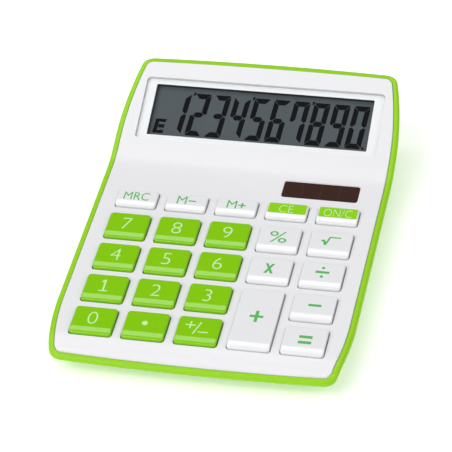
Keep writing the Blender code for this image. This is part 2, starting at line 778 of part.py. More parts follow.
def make_lcd_frame(back):
    """Plastic frame round the glasses.  Its lower bar sits behind them, so the ribbon can pass."""
    front = -DISPLAY_PLATE - GAP
    inner = GLASS_HALF + GAP
    outer = inner + FRAME_SIDE
    low, high = REAR_GLASS[0] - 1.6 * MM, REAR_GLASS[1] + GAP

    def draw_block(bm):
        add_box(bm, (-outer, low, back - 1.2 * MM), (outer, high + FRAME_WIDTH, front))

    frame = build("lcd_frame", draw_block, DISPLAY_FRAME, BLACK)

    def draw_pocket(bm):
        add_box(bm, (-inner, -20 * MM, back), (inner, high, 6 * MM))

    def draw_opening(bm):
        add_box(bm, (-inner + 3 * MM, low + 3.4 * MM, -20 * MM), (inner - 3 * MM, high - 3 * MM, 6 * MM))

    combine(frame, build("shape_lcd_pocket", draw_pocket, DISPLAY_FRAME, None), "DIFFERENCE")
    combine(frame, build("shape_lcd_opening", draw_opening, DISPLAY_FRAME, None), "DIFFERENCE")


def to_keypad(u, w):
    """Display frame (u, w) as keypad frame (s, n)."""
    turn = DISPLAY_RISE
    s = DISPLAY_START[0] + u * math.cos(turn) - w * math.sin(turn)
    n = DISPLAY_START[1] + u * math.sin(turn) + w * math.cos(turn)
    return Vector((s, n))


def bezier(points, count):
    """Points on a cubic curve through four control points."""
    a, b, c, d = points
    curve = []
    for i in range(count + 1):
        t = i / count
        r = 1 - t
        curve.append(a * r ** 3 + b * 3 * r * r * t + c * 3 * r * t * t + d * t ** 3)
    return curve


def make_lcd_ribbon():
    """Thin film from the contact ledge of the rear glass down to the circuit board."""
    thick = 0.15 * MM
    ledge = -DISPLAY_PLATE - GAP - GLASS_THICK + 0.15 * MM
    start = to_keypad(REAR_GLASS[0] + 1.6 * MM, ledge)
    bend = to_keypad(REAR_GLASS[0] - 2.6 * MM, ledge - 0.1 * MM)
    end = Vector((BOARD_BACK - 2.5 * MM, BOARD_TOP + GAP))
    path = [start] + bezier([to_keypad(REAR_GLASS[0], ledge), bend, end + Vector((6 * MM, 0)), end], 8)
    upper, lower = [], []
    for i, point in enumerate(path):
        ahead = path[min(i + 1, len(path) - 1)] - path[max(i - 1, 0)]
        side = Vector((-ahead.y, ahead.x)).normalized() * thick / 2
        upper.append(point + side)
        lower.append(point - side)
    profile = [tuple(p) for p in upper + lower[::-1]]
    build("lcd_ribbon", lambda bm: add_sweep_across(bm, profile, RIBBON_HALF), KEYPAD_FRAME, FOIL)


# ---------------------------------------------------------------- solar cell

def make_solar():
    top = solar_top()
    build(
        "solar_window",
        lambda bm: add_box(bm, *solar_box(0.0, top - SOLAR_THICK, top)),
        KEYPAD_FRAME,
        CLEAR,
    )
    cell_top = RIM_LEVEL + COVER_CROWN - KEYPAD_PLATE - GAP
    cell = solar_box(1.4 * MM, cell_top - 1.1 * MM, cell_top)
    build("solar_cell", lambda bm: add_box(bm, *cell), KEYPAD_FRAME, SOLAR)
    pad = solar_box(-1.5 * MM, BOARD_TOP + GAP, cell_top - 1.1 * MM - GAP)
    build("solar_pad", lambda bm: add_box(bm, *pad), KEYPAD_FRAME, FOAM)


# ---------------------------------------------------------------- keypad rubber and circuit board

def dome_places():
    return [(key["x"], (key["front"] + key["back"]) / 2) for key in KEYS.values()]


def draw_rubber_sheet(bm):
    low = (-BOARD_HALF, BOARD_FRONT, RUBBER_TOP - RUBBER_THICK)
    add_box(bm, low, (BOARD_HALF, SHEET_BACK, RUBBER_TOP))


def draw_domes(bm):
    for place in dome_places():
        add_turned(bm, place, [
            (DOME_FOOT, RUBBER_TOP - 0.2 * MM),
            (DOME_FOOT, RUBBER_TOP + 0.1 * MM),
            (DOME_TOP_RADIUS, RUBBER_TOP + DOME_HEIGHT),
        ], 8)


def draw_dome_hollows(bm):
    for place in dome_places():
        add_turned(bm, place, [
            (DOME_FOOT - DOME_WALL, RUBBER_TOP - RUBBER_THICK - 0.5 * MM),
            (DOME_FOOT - DOME_WALL, RUBBER_TOP - 0.1 * MM),
            (DOME_TOP_RADIUS - DOME_WALL, RUBBER_TOP + DOME_HEIGHT - 0.7 * MM),
        ], 8)


def draw_stake_holes(bm):
    for place in stake_places():
        radius = STAKE_RADIUS + GAP
        add_turned(bm, place, [(radius, BOARD_TOP - 4 * MM), (radius, RUBBER_TOP + 2 * MM)], 8)


def make_keypad_rubber():
    rubber = build("keypad_rubber", draw_rubber_sheet, KEYPAD_FRAME, RUBBER)
    combine(rubber, build("shape_domes", draw_domes, KEYPAD_FRAME, None), "UNION")
    combine(rubber, build("shape_dome_hollows", draw_dome_hollows, KEYPAD_FRAME, None), "DIFFERENCE")
    combine(rubber, bpy.data.objects["shape_stake_holes"], "DIFFERENCE")


def make_circuit_board():
    build("shape_stake_holes", draw_stake_holes, KEYPAD_FRAME, None)
    outline_points = [
        (-BOARD_FRONT_HALF, BOARD_FRONT), (BOARD_FRONT_HALF, BOARD_FRONT),
        (BOARD_HALF, BOARD_TAPER), (BOARD_HALF, BOARD_STEP),
        (BOARD_BACK_HALF, BOARD_STEP), (BOARD_BACK_HALF, BOARD_BACK), (-BOARD_BACK_HALF, BOARD_BACK),
        (-BOARD_BACK_HALF, BOARD_STEP), (-BOARD_HALF, BOARD_STEP), (-BOARD_HALF, BOARD_TAPER),
    ]
    board = build(
        "keypad_board",
        lambda bm: add_prism(bm, outline_points, BOARD_TOP - BOARD_THICK, BOARD_TOP),
        KEYPAD_FRAME,
        BOARD,
    )
    combine(board, bpy.data.objects["shape_stake_holes"], "DIFFERENCE")
    under = BOARD_TOP - BOARD_THICK - GAP
    blob = [
        (CHIP_RADIUS, under),
        (CHIP_RADIUS * 0.96, under - CHIP_HEIGHT / 2),
        (CHIP_RADIUS * 0.65, under - CHIP_HEIGHT),
    ]
    chip = build("controller_chip", lambda bm: add_turned(bm, CHIP_PLACE, blob, 16), KEYPAD_FRAME, EPOXY)
    smooth(chip, 60)
    along = Matrix.Translation((*CAPACITOR_PLACE, BOARD_TOP + GAP + CAPACITOR_RADIUS)) @ Matrix.Rotation(
        math.pi / 2, 4, "Y"
    )
    can = [(CAPACITOR_RADIUS, -CAPACITOR_HALF), (CAPACITOR_RADIUS, CAPACITOR_HALF)]
    capacitor = build(
        "capacitor", lambda bm: add_turned(bm, (0, 0), can, 14), KEYPAD_FRAME @ along, BLUE_SLEEVE
    )
    smooth(capacitor)


# ---------------------------------------------------------------- battery

def make_battery():
    centre = (CELL_X, CELL_Y)
    top = CELL_BOTTOM + CELL_HEIGHT
    can = [
        (CELL_RADIUS - 0.3 * MM, CELL_BOTTOM),
        (CELL_RADIUS, CELL_BOTTOM + 0.3 * MM),
        (CELL_RADIUS, top - 0.6 * MM),
        (CELL_RADIUS - 0.9 * MM, top - 0.45 * MM),
        (CELL_RADIUS - 1.1 * MM, top),
    ]
    smooth(build("battery_cell", lambda bm: add_turned(bm, centre, can, 24), WORLD, STEEL))

    def draw_negative(bm):
        outer = CELL_X - HOUSING_HALF - 1.6 * MM
        low = (outer, CELL_Y - CONTACT_HALF[0], CUP_TOP - 2 * CONTACT_THICK[0])
        add_box(bm, low, (CELL_X - 1.4 * MM, CELL_Y + CONTACT_HALF[0], CUP_TOP - CONTACT_THICK[0]))

    def draw_positive(bm):
        inner = CELL_X + CELL_RADIUS + GAP + 0.05 * MM
        low = (inner, CELL_Y - CONTACT_HALF[1], CELL_BOTTOM)
        add_box(bm, low, (inner + CONTACT_THICK[1], CELL_Y + CONTACT_HALF[1], HOUSING_TOP + 0.9 * MM))

    build("battery_contact_negative", draw_negative, WORLD, STEEL)
    build("battery_contact_positive", draw_positive, WORLD, STEEL)

    def draw_door(bm):
        low, high = CASE_BOTTOM + 0.05 * MM, DOOR_TOP
        profile = [
            (CELL_X - DOOR_HALF, low), (CELL_X + DOOR_HALF, low),
            (CELL_X + DOOR_HALF, DOOR_FLANGE_LOW), (CELL_X + DOOR_FLANGE_HALF, DOOR_FLANGE_LOW),
            (CELL_X + DOOR_FLANGE_HALF, high), (CELL_X - DOOR_FLANGE_HALF, high),
            (CELL_X - DOOR_FLANGE_HALF, DOOR_FLANGE_LOW), (CELL_X - DOOR_HALF, DOOR_FLANGE_LOW),
        ]
        add_loft(bm, [[Vector((x, y, z)) for x, z in profile] for y in (DOOR_FRONT_Y, DOOR_BACK_Y)])

    build("battery_door", draw_door, WORLD, GREEN)


# ---------------------------------------------------------------- screws, feet and wires

def make_screws():
    for side, (x, s) in SCREW_PLACES.items():
        head = floor_n(s) + HEAD_DEPTH
        levels = [
            (SCREW_HEAD, head), (SCREW_HEAD, head + 1.2 * MM), (SCREW_SHAFT, head + 1.2 * MM),
            (SCREW_SHAFT, -4.4 * MM), (SCREW_SHAFT * 0.4, -3.9 * MM),
        ]
        screw = build(
            "case_screw_" + side,
            lambda bm, levels=levels, x=x, s=s: add_turned(bm, (x, s), levels, 12),
            KEYPAD_FRAME,
            STEEL,
        )
        smooth(screw)


def foot_places():
    return {
        "front_left": (-FOOT_X, FOOT_FRONT_Y),
        "front_right": (FOOT_X, FOOT_FRONT_Y),
        "back_left": (-FOOT_X, FOOT_BACK_Y),
        "back_right": (FOOT_X, FOOT_BACK_Y),
    }


def make_feet():
    levels = [
        (FOOT_RADIUS - 0.4 * MM, 0.0),
        (FOOT_RADIUS, 0.4 * MM),
        (FOOT_RADIUS, FOOT_HEIGHT),
    ]
    for side, place in foot_places().items():
        foot = build(
            "rubber_foot_" + side,
            lambda bm, place=place: add_turned(bm, place, levels, 20),
            WORLD,
            FOOT,
        )
        smooth(foot, 30)


def make_wire(name, route, finish):
    """Round wire along a smooth curve through four points in world space."""
    data = bpy.data.curves.new(name, "CURVE")
    data.dimensions = "3D"
    data.bevel_depth = WIRE_RADIUS
    data.bevel_resolution = 1
    data.use_fill_caps = True
    points = bezier(route, 14)
    spline = data.splines.new("POLY")
    spline.points.add(len(points) - 1)
    for point, place in zip(spline.points, points):
        point.co = (*place, 1.0)
    data.materials.append(finish)
    made = bpy.data.objects.new(name, data)
    bpy.context.scene.collection.objects.link(made)


def make_wires():
    solar_x = SOLAR_CENTRE[0] - SOLAR_SIZE[0] / 2
    for name, finish, shift in (
        ("solar_wire_positive", RED_WIRE, 0.0),
        ("solar_wire_negative", BLACK_WIRE, -3.0 * MM),
    ):
        s = SOLAR_CENTRE[1] + shift
        route = [
            KEYPAD_FRAME @ Vector((solar_x - 2.2 * MM, s, -3.8 * MM)),
            KEYPAD_FRAME @ Vector((solar_x - 7 * MM, s, -3.6 * MM)),
            KEYPAD_FRAME @ Vector((solar_x - 9 * MM, s - 1 * MM, -5 * MM)),
            KEYPAD_FRAME @ Vector((solar_x - 9 * MM, s - 2 * MM, BOARD_TOP + GAP)),
        ]
        make_wire(name, route, finish)
    board_back = BOARD_BACK - 1.5 * MM
    ends = {
        "battery_wire_positive": (
            Vector((CELL_X + CELL_RADIUS - 0.6 * MM, CELL_Y, HOUSING_TOP + 0.75 * MM)),
            WIRE_PADS[0],
            RED_WIRE,
        ),
        "battery_wire_negative": (
            Vector((CELL_X - HOUSING_HALF - 1.2 * MM, CELL_Y, CUP_TOP + 0.5 * MM)),
            WIRE_PADS[1],
            BLACK_WIRE,
        ),
    }
    for name, (start, board_x, finish) in ends.items():
        end = KEYPAD_FRAME @ Vector((board_x, board_back, BOARD_TOP + 0.5 * MM))
        leaving = start + Vector((-2 * MM, -6 * MM, 0))
        landing = end + Vector((-1 * MM, 9 * MM, 1.6 * MM))
        route = [start, leaving, landing, end]
        make_wire(name, route, finish)


def main():
    for old in list(bpy.data.objects):
        bpy.data.objects.remove(old)
    make_bottom_case()
    make_top_cover()
    make_keys()
    make_display()
    make_solar()
    make_circuit_board()
    make_keypad_rubber()
    make_battery()
    make_screws()
    make_feet()
    make_wires()


main()
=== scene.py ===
"""Looks of the desk calculator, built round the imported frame.

Pieces are drawn in the keypad frame (x, s, n), where s runs up the keypad's slope and n is its
normal with n = 0 on the key tops, in the display frame (x, u, w) on the display's slope, or, for
the door, the feet and the battery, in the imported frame's own axes.
"""

from math import atan, atan2, cos, hypot, pi, radians, sin, tan

import bmesh
import bpy
from mathutils import Matrix, Vector


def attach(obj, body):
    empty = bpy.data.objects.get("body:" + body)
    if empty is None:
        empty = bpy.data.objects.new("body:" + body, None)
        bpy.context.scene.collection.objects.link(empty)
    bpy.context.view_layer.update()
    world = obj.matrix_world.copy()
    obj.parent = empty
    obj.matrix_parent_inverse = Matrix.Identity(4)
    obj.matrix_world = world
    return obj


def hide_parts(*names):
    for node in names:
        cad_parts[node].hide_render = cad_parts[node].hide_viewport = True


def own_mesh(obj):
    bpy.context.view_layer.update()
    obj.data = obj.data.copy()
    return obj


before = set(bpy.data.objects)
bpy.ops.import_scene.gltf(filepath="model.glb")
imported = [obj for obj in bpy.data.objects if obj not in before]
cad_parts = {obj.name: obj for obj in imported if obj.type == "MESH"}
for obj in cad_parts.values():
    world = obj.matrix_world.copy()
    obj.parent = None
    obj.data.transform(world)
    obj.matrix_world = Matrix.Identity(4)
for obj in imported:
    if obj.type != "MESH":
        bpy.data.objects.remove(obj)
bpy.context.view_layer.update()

MM = 0.001
GAP = 0.3 * MM
FAR = 200 * MM
THROUGH = 6 * MM  # reach of a cutter that goes right through the cover
MIN_CORNER = 0.3 * MM
WELD = 2e-7  # points closer than this become one

# Keypad
KEY_PITCH = 18.55 * MM
ROW_PITCH = 16.32 * MM
KEYPAD_TILT = radians(1.5)
KEYPAD_HEIGHT = 14.0 * MM
KEY_WIDTH = 14.94 * MM
KEY_BACK = 5.2 * MM
KEY_FOLD = 4.69 * MM
KEY_FRONT = 7.44 * MM
KEY_DROP = 0.85 * MM
KEY_CORNER = 1.2 * MM
KEY_EDGE = 0.42 * MM
KEY_GAP_SHARE = 0.85  # of GAP, round each key
KEY_HOLE_MOUTH = 0.2 * MM
KEY_SKIRT = 3.25 * MM
KEY_FLANGE = 0.5 * MM
FLANGE_BOTTOM = 4.1 * MM
STUB_BOTTOM = 4.9 * MM
STUB_RADIUS = 2.2 * MM
FOLD_BLEND = 0.35 * MM
FACET_SLOPE = radians(12.0)
FACET_SHARE = 0.6
MEMORY_ROW_BACK = 17.95 * MM
MEMORY_ROW_FOLD = 12.3 * MM
MEMORY_ROW_FRONT = 9.58 * MM
MEMORY_ROW_LEGEND = 14.7 * MM

# Outline of the cover, seen along the keypad's normal
HALF_WIDTH = 51.05 * MM
FRONT_EDGE = -63.5 * MM
BACK_EDGE = 77.35 * MM
FRONT_BOW = 1.05 * MM
BACK_BOW = 0.6 * MM
BACK_RIM_GROWTH = 1.3
BACK_RIM_BOW = 0.22
FRONT_BEND_START = -39.0 * MM
FRONT_BEND = 4.99
BACK_BEND_START = 44.5 * MM
BACK_BEND = 3.91
CORNER_RADIUS = 3.0 * MM
SMALLEST_CORNER = 1.2 * MM

# Side profile: the line where the cover meets the case's rim
RIM_LEVEL = -1.55 * MM
VALLEY = 36.05 * MM
VALLEY_BLEND = 3.0 * MM
DISPLAY_RISE = radians(19.0)
NOSE_START = -55.0 * MM
NOSE_DROP = 2.2 * MM
NOSE_POWER = 2.6

# Walls
COVER_CROWN = 0.25 * MM
COVER_INSET = 0.15 * MM
COVER_WALL = 1.5 * MM
COVER_DEPTH = 1.9 * MM
COVER_EDGE = 0.45 * MM
KEYPAD_PLATE = 1.65 * MM
DISPLAY_PLATE = 2.4 * MM
RIM_BULGE = 2.1 * MM
CASE_BOTTOM = 1.0 * MM
FLOOR_TOP = 2.6 * MM

# Display stack
LENS_HALF = 45.25 * MM
LENS_LOW = 2.7 * MM
LENS_HIGH = 29.2 * MM
LENS_THICK = 1.1 * MM
LENS_TOP = -0.05 * MM
LENS_CORNER = 1.3 * MM
LENS_EDGE = 0.15 * MM
LENS_GAP = 0.06 * MM
LENS_REACH = GAP - LENS_GAP
RECESS_MOUTH = 0.08 * MM
WINDOW_LEDGE = 1.5 * MM
WINDOW_CORNER = 1.0 * MM
PRINT_HALF = 41.65 * MM
PRINT_LOW = 4.95 * MM
PRINT_HIGH = 27.15 * MM
PRINT_CORNER = 0.35 * MM
PRINT_GAP = 0.02 * MM
PRINT_THICK = 0.06 * MM
# Black window mask: partly a real dark frame, and its edges are painted shade along the display
# window's top and left
MASK_GAP = 0.1 * MM
MASK_SHADE_LEFT = 0.25 * MM
MASK_CORNER = 0.9 * MM
MASK_ABOVE = 0.13 * MM
MASK_BELOW = 0.08 * MM
GLASS_HALF = 42.9 * MM
FRONT_GLASS = (2.6 * MM, 27.9 * MM)
GLASS_TOP = -2.7 * MM
GLASS_THICK = 0.7 * MM

# Solar cell
SOLAR_CENTRE = (28.48 * MM, 26.9 * MM)
SOLAR_SIZE = (27.4 * MM, 8.1 * MM)
SOLAR_THICK = 0.7 * MM
SOLAR_LEDGE = 1.0 * MM
SOLAR_CORNER = 0.7 * MM
SOLAR_SURFACE = RIM_LEVEL + COVER_CROWN
SOLAR_TOP = SOLAR_SURFACE - 0.05 * MM
SCRIBE_WIDE = 0.14 * MM

# Fasteners, feet and battery
SCREW_PLACES = {"left": (-40.0 * MM, 37.5 * MM), "right": (40.0 * MM, 37.5 * MM)}
SCREW_HEAD = 1.9 * MM
SCREW_SHAFT = 0.8 * MM
POST_RADII = (3.2 * MM, 2.9 * MM)
POST_TOP = -8.0 * MM
FOOT_RADIUS = 4.0 * MM
FOOT_HEIGHT = 1.3 * MM
FOOT_RECESS = 0.6 * MM
FOOT_PLACES = {
    "front_left": (-38.2 * MM, -57.0 * MM), "front_right": (38.2 * MM, -57.0 * MM),
    "back_left": (-38.2 * MM, 53.0 * MM), "back_right": (38.2 * MM, 53.0 * MM),
}
CELL_X = -24.0 * MM
CELL_Y = 46.0 * MM
CELL_RADIUS = 5.8 * MM
CELL_BOTTOM = 3.4 * MM
CELL_HEIGHT = 3.05 * MM
HOUSING_HALF = 11.5 * MM
HOUSING_BOTTOM = 1.4 * MM
HOUSING_TOP = 8.3 * MM
CUP_TOP = 7.3 * MM
DOOR_HALF = 7.5 * MM
DOOR_FLANGE_HALF = 9.0 * MM
DOOR_FLANGE_LOW = 2.0 * MM
DOOR_TOP = 2.8 * MM
DOOR_FRONT_Y = CELL_Y - 9.0 * MM
DOOR_BACK_Y = 63.05 * MM
DOOR_FACE = CASE_BOTTOM + 0.05 * MM
LABEL_FIELD = (-22 * MM, 22 * MM, -30 * MM, 2 * MM)


# ---- frames and profiles

def rim_height(s):
    """Height n of the rim at s: flat keypad, rounded valley, straight slope, rounded nose."""
    s = min(max(s, FRONT_EDGE), BACK_EDGE)
    past = s - VALLEY
    rise = tan(DISPLAY_RISE) * 0.5 * (past + hypot(past, VALLEY_BLEND))
    nose = max(0.0, (NOSE_START - s) / (NOSE_START - FRONT_EDGE))
    return RIM_LEVEL + rise - NOSE_DROP * nose ** NOSE_POWER


def cover_height(s):
    return rim_height(s) + COVER_CROWN


def middle_y():
    """The shift along Y that puts the middle of the whole case on Y = 0."""
    front = FRONT_EDGE - FRONT_BOW - RIM_BULGE
    back = BACK_EDGE + BACK_BOW + RIM_BULGE * (BACK_RIM_GROWTH + BACK_RIM_BOW)
    lean = sin(KEYPAD_TILT) * (rim_height(FRONT_EDGE) + rim_height(BACK_EDGE))
    return -(cos(KEYPAD_TILT) * (front + back) - lean) / 2


def tilted(y, z, angle):
    return Matrix.Translation((0, y, z)) @ Matrix.Rotation(angle, 4, "X")


WORLD = Matrix.Identity(4)
KEYPAD = tilted(middle_y(), KEYPAD_HEIGHT, KEYPAD_TILT)
DISPLAY_START = 42.76 * MM
DISPLAY = (
    KEYPAD
    @ Matrix.Translation((
        0, DISPLAY_START, SOLAR_SURFACE + tan(DISPLAY_RISE) * (DISPLAY_START - VALLEY)
    ))
    @ Matrix.Rotation(DISPLAY_RISE, 4, "X")
)


def n_at_world_z(s, z):
    return (z - KEYPAD_HEIGHT - s * sin(KEYPAD_TILT)) / cos(KEYPAD_TILT)


def half_width(s):
    """Half the cover's width at s: straight sides that bend gently inwards at both ends."""
    front = max(0.0, FRONT_BEND_START - s)
    back = max(0.0, s - BACK_BEND_START)
    return HALF_WIDTH - FRONT_BEND * front ** 2 - BACK_BEND * back ** 2


def side_lean(s):
    """Angle of the outline's outward normal from +X at s, positive towards the back."""
    front = max(0.0, FRONT_BEND_START - s)
    back = max(0.0, s - BACK_BEND_START)
    return atan(2 * BACK_BEND * back - 2 * FRONT_BEND * front)


def corner(end, offset):
    """Centre, radius, lean and touching point of the right-hand corner arc at the front or back."""
    radius = max(CORNER_RADIUS + offset, SMALLEST_CORNER)
    growth = BACK_RIM_GROWTH if end > 0 and offset > 0 else 1.0
    edge = (BACK_EDGE if end > 0 else FRONT_EDGE) + end * offset * growth
    touch = edge - end * radius
    for _ in range(6):
        touch = edge - end * radius * (1 - sin(abs(side_lean(touch))))
    lean = side_lean(touch)
    x = half_width(touch) + offset * cos(lean) - radius * cos(lean)
    return Vector((x, edge - end * radius)), radius, lean, touch


CORNER_STEPS = 9
END_STEPS = 14
NOSE_STEPS = 7
BACK_STEPS = 3
FIRST_STATION = -50 * MM
LAST_STATION = 66 * MM


def fixed_stations():
    """Values of s along the sides, close together where the side profile or the outline bends."""
    front = [FIRST_STATION + 2.75 * MM * i for i in range(5)]
    middle = [-30 * MM, -10 * MM, 10 * MM, 22 * MM]
    valley = [VALLEY + (i - 7.5) * 1.3 * MM for i in range(16)]
    rear = [50 * MM, 54 * MM, 58 * MM, 62 * MM, LAST_STATION]
    return front + middle + valley + rear


def between(start, end, steps):
    return [start + (end - start) * i / steps for i in range(1, steps)]


def outline(offset):
    """Closed outline, anticlockwise from the front right, moved outwards by offset."""
    front, radius, front_lean, front_touch = corner(-1, offset)
    back, _, back_lean, back_touch = corner(1, offset)
    right = []
    for i in range(CORNER_STEPS + 1):
        angle = -pi / 2 + (front_lean + pi / 2) * i / CORNER_STEPS
        right.append(front + radius * Vector((cos(angle), sin(angle))))
    nose = between(front_touch, FIRST_STATION, NOSE_STEPS)
    rear = between(LAST_STATION, back_touch, BACK_STEPS)
    for s in nose + fixed_stations() + rear:
        right.append(Vector((half_width(s) + offset, s)))
    for i in range(CORNER_STEPS + 1):
        angle = back_lean + (pi / 2 - back_lean) * i / CORNER_STEPS
        right.append(back + radius * Vector((cos(angle), sin(angle))))
    left = [Vector((-p.x, p.y)) for p in reversed(right)]
    front_end = [Vector((-p.x, p.y)) for p in end_edge(right[0], -FRONT_BOW)]
    back_end = end_edge(right[-1], BACK_BOW + BACK_RIM_BOW * max(0.0, offset))
    return right + back_end + left + front_end


def end_edge(start, bow):
    """Points between the two corners of one end, bowed outwards in the middle."""
    points = []
    for i in range(1, END_STEPS):
        across = 1 - 2 * i / END_STEPS
        points.append(Vector((start.x * across, start.y + bow * (1 - across ** 2))))
    return points


def key_table():
    """Every key's name with its place: x, and s of its front, fold and back and of its legend."""
    rows = (
        ("memory_recall", "memory_minus", "memory_plus", "clear_entry", "on_clear"),
        ("7", "8", "9", "percent", "root"),
        ("4", "5", "6", "multiply", "divide"),
        ("1", "2", "3", "plus", "minus"),
        ("0", "point", "sign", None, "equals"),
    )
    table = {}
    for j, row in enumerate(rows):
        for i, name in enumerate(row):
            if name is None:
                continue
            place = {"x": (i - 2) * KEY_PITCH, "green": j > 0 and i < 3}
            if j == 0:
                place |= {"back": MEMORY_ROW_BACK, "fold": MEMORY_ROW_FOLD}
                place |= {"front": MEMORY_ROW_FRONT, "middle": MEMORY_ROW_LEGEND}
            else:
                s = -(j - 1) * ROW_PITCH
                last = s - ROW_PITCH if name == "plus" else s
                place |= {"back": s + KEY_BACK, "fold": last - KEY_FOLD}
                place |= {"front": last - KEY_FRONT, "middle": (s + last) / 2}
            table["key_" + name] = place
    return table


KEYS = key_table()


# ---- materials

def new_material(name):
    made = bpy.data.materials.new(name)
    made.use_nodes = True
    return made, made.node_tree


def add_node(tree, kind, **values):
    """A shader node with its named inputs set; a key that isn't an input is set as a property."""
    node = tree.nodes.new("ShaderNode" + kind)
    for key, value in values.items():
        if key in node.inputs:
            node.inputs[key].default_value = value
        else:
            setattr(node, key, value)
    return node


def connect(tree, *pairs):
    for output, socket in pairs:
        tree.links.new(output, socket)


def shade(colour, factor):
    return (*(min(1.0, c * factor) for c in colour), 1.0)


def moulded(name, colour, roughness, grain=2600.0, depth=0.012 * MM, tone=0.02, **fixed):
    """Moulded surface: slight drift of tone, uneven gloss and the fine grain of the mould."""
    made, tree = new_material(name)
    shader = tree.nodes["Principled BSDF"]
    for key, value in fixed.items():
        shader.inputs[key.replace("_", " ")].default_value = value
    place = add_node(tree, "TexCoord").outputs["Object"]
    drift = add_node(tree, "TexNoise", Scale=38.0, Detail=3.0)
    blend = add_node(tree, "Mix", data_type="RGBA")
    blend.inputs["A"].default_value = shade(colour, 1 - tone)
    blend.inputs["B"].default_value = shade(colour, 1 + tone)
    patches = add_node(tree, "TexNoise", Scale=420.0, Detail=4.0)
    gloss = add_node(tree, "MapRange")
    gloss.inputs["To Min"].default_value = roughness * 0.86
    gloss.inputs["To Max"].default_value = roughness * 1.14
    fine = add_node(tree, "TexNoise", Scale=grain, Detail=2.0)
    bump = add_node(tree, "Bump", Strength=0.35, Distance=depth)
    connect(
        tree,
        *((place, texture.inputs["Vector"]) for texture in (drift, patches, fine)),
        (drift.outputs["Fac"], blend.inputs["Factor"]),
        (blend.outputs["Result"], shader.inputs["Base Color"]),
        (patches.outputs["Fac"], gloss.inputs["Value"]),
        (gloss.outputs["Result"], shader.inputs["Roughness"]),
        (fine.outputs["Fac"], bump.inputs["Height"]),
        (bump.outputs["Normal"], shader.inputs["Normal"]),
    )
    return made


def clear_sheet(name, ior, roughness):
    """Thin clear acrylic: it lets light straight through and adds the gloss of its outer face."""
    made, tree = new_material(name)
    tree.nodes.remove(tree.nodes["Principled BSDF"])
    facing = add_node(tree, "LayerWeight", Blend=0.5)
    steep = add_node(tree, "Math", operation="POWER")
    steep.inputs[1].default_value = 5.0
    schlick = add_node(tree, "MapRange")
    schlick.inputs["To Min"].default_value = ((ior - 1) / (ior + 1)) ** 2
    schlick.inputs["To Max"].default_value = 1.0
    side = add_node(tree, "NewGeometry")
    outer = add_node(tree, "Math", operation="SUBTRACT")
    outer.inputs[0].default_value = 1.0
    share = add_node(tree, "Math", operation="MULTIPLY")
    through = add_node(tree, "BsdfTransparent", Color=(0.985, 0.99, 0.988, 1.0))
    gloss = add_node(tree, "BsdfGlossy", Color=(1, 1, 1, 1), Roughness=roughness)
    mix = add_node(tree, "MixShader")
    connect(
        tree,
        (facing.outputs["Facing"], steep.inputs[0]),
        (steep.outputs["Value"], schlick.inputs["Value"]),
        (side.outputs["Backfacing"], outer.inputs[1]),
        (schlick.outputs["Result"], share.inputs[0]),
        (outer.outputs["Value"], share.inputs[1]),
        (share.outputs["Value"], mix.inputs[0]),
        (through.outputs["BSDF"], mix.inputs[1]),
        (gloss.outputs["BSDF"], mix.inputs[2]),
        (mix.outputs["Shader"], tree.nodes["Material Output"].inputs["Surface"]),
    )
    return made


WHITE = moulded("white_cover", (0.75, 0.75, 0.768), 0.38)
GREEN = moulded("green_case", (0.275, 0.59, 0.004), 0.36, Specular_IOR_Level=0.3)
GREEN_KEY = moulded(
    "green_key", (0.218, 0.54, 0.0), 0.12, depth=0.004 * MM, Specular_IOR_Level=0.38
)
WHITE_KEY = moulded("white_key", (0.76, 0.762, 0.777), 0.16, depth=0.004 * MM)
WHITE_INK = moulded("white_ink", (0.55, 0.80, 0.38), 0.4, tone=0.01, Specular_IOR_Level=0.2)
GREEN_INK = moulded("green_ink", (0.082, 0.43, 0.085), 0.4, tone=0.03, Specular_IOR_Level=0.3)
GREEN_PRINT = moulded("green_print", (0.245, 0.59, 0.0), 0.35, Specular_IOR_Level=0.2)
LENS = clear_sheet("clear_lens", 1.49, 0.015)
LENS_PRINT = moulded("lens_print", (0.86, 0.86, 0.875), 0.5, tone=0.01)
LCD_GREY = moulded("lcd_polariser", (0.082, 0.096, 0.107), 0.5, tone=0.04, Specular_IOR_Level=0.1)
LCD_BLACK = moulded("lcd_segment", (0.004, 0.004, 0.006), 0.9, Specular_IOR_Level=0.0)
SOLAR = moulded("solar_silicon", (0.040, 0.015, 0.010), 0.1, tone=0.08, Specular_IOR_Level=0.4)
SOLAR_LINE = moulded("solar_scribe", (0.066, 0.034, 0.026), 0.2)
FOOT = moulded("foot_rubber", (0.045, 0.045, 0.047), 0.8, grain=1400.0, depth=0.05 * MM, tone=0.1)
STEEL = moulded("nickel_steel", (0.62, 0.61, 0.58), 0.26, tone=0.05, Metallic=1.0)
BLACK = moulded("black_abs", (0.028, 0.028, 0.03), 0.5, tone=0.08)
SILICONE = moulded("keypad_silicone", (0.70, 0.71, 0.73), 0.65, tone=0.03)
BOARD = moulded("circuit_board", (0.045, 0.19, 0.08), 0.4, tone=0.12)
EPOXY = moulded("black_epoxy", (0.015, 0.015, 0.016), 0.28, tone=0.15)
FILM = moulded("ribbon_film", (0.50, 0.33, 0.11), 0.35, tone=0.06)
FOIL = moulded("reflector_foil", (0.52, 0.54, 0.56), 0.3, tone=0.05, Metallic=0.8)
GLASS = moulded("lcd_glass", (0.20, 0.22, 0.23), 0.1, tone=0.03)
FOAM = moulded("black_foam", (0.05, 0.05, 0.052), 0.95, grain=900.0, depth=0.12 * MM, tone=0.2)
RED_WIRE = moulded("red_wire", (0.58, 0.025, 0.02), 0.4, tone=0.05)
BLACK_WIRE = moulded("black_wire", (0.018, 0.018, 0.02), 0.4, tone=0.1)
SLEEVE = moulded("capacitor_sleeve", (0.04, 0.07, 0.26), 0.35, tone=0.08)
FLOOR = moulded(
    "floor", (0.92, 0.92, 0.92), 0.7, grain=300.0, tone=0.004,
    Emission_Color=(1.0, 1.0, 1.0, 1.0), Emission_Strength=0.3,
)


# ---- mesh helpers

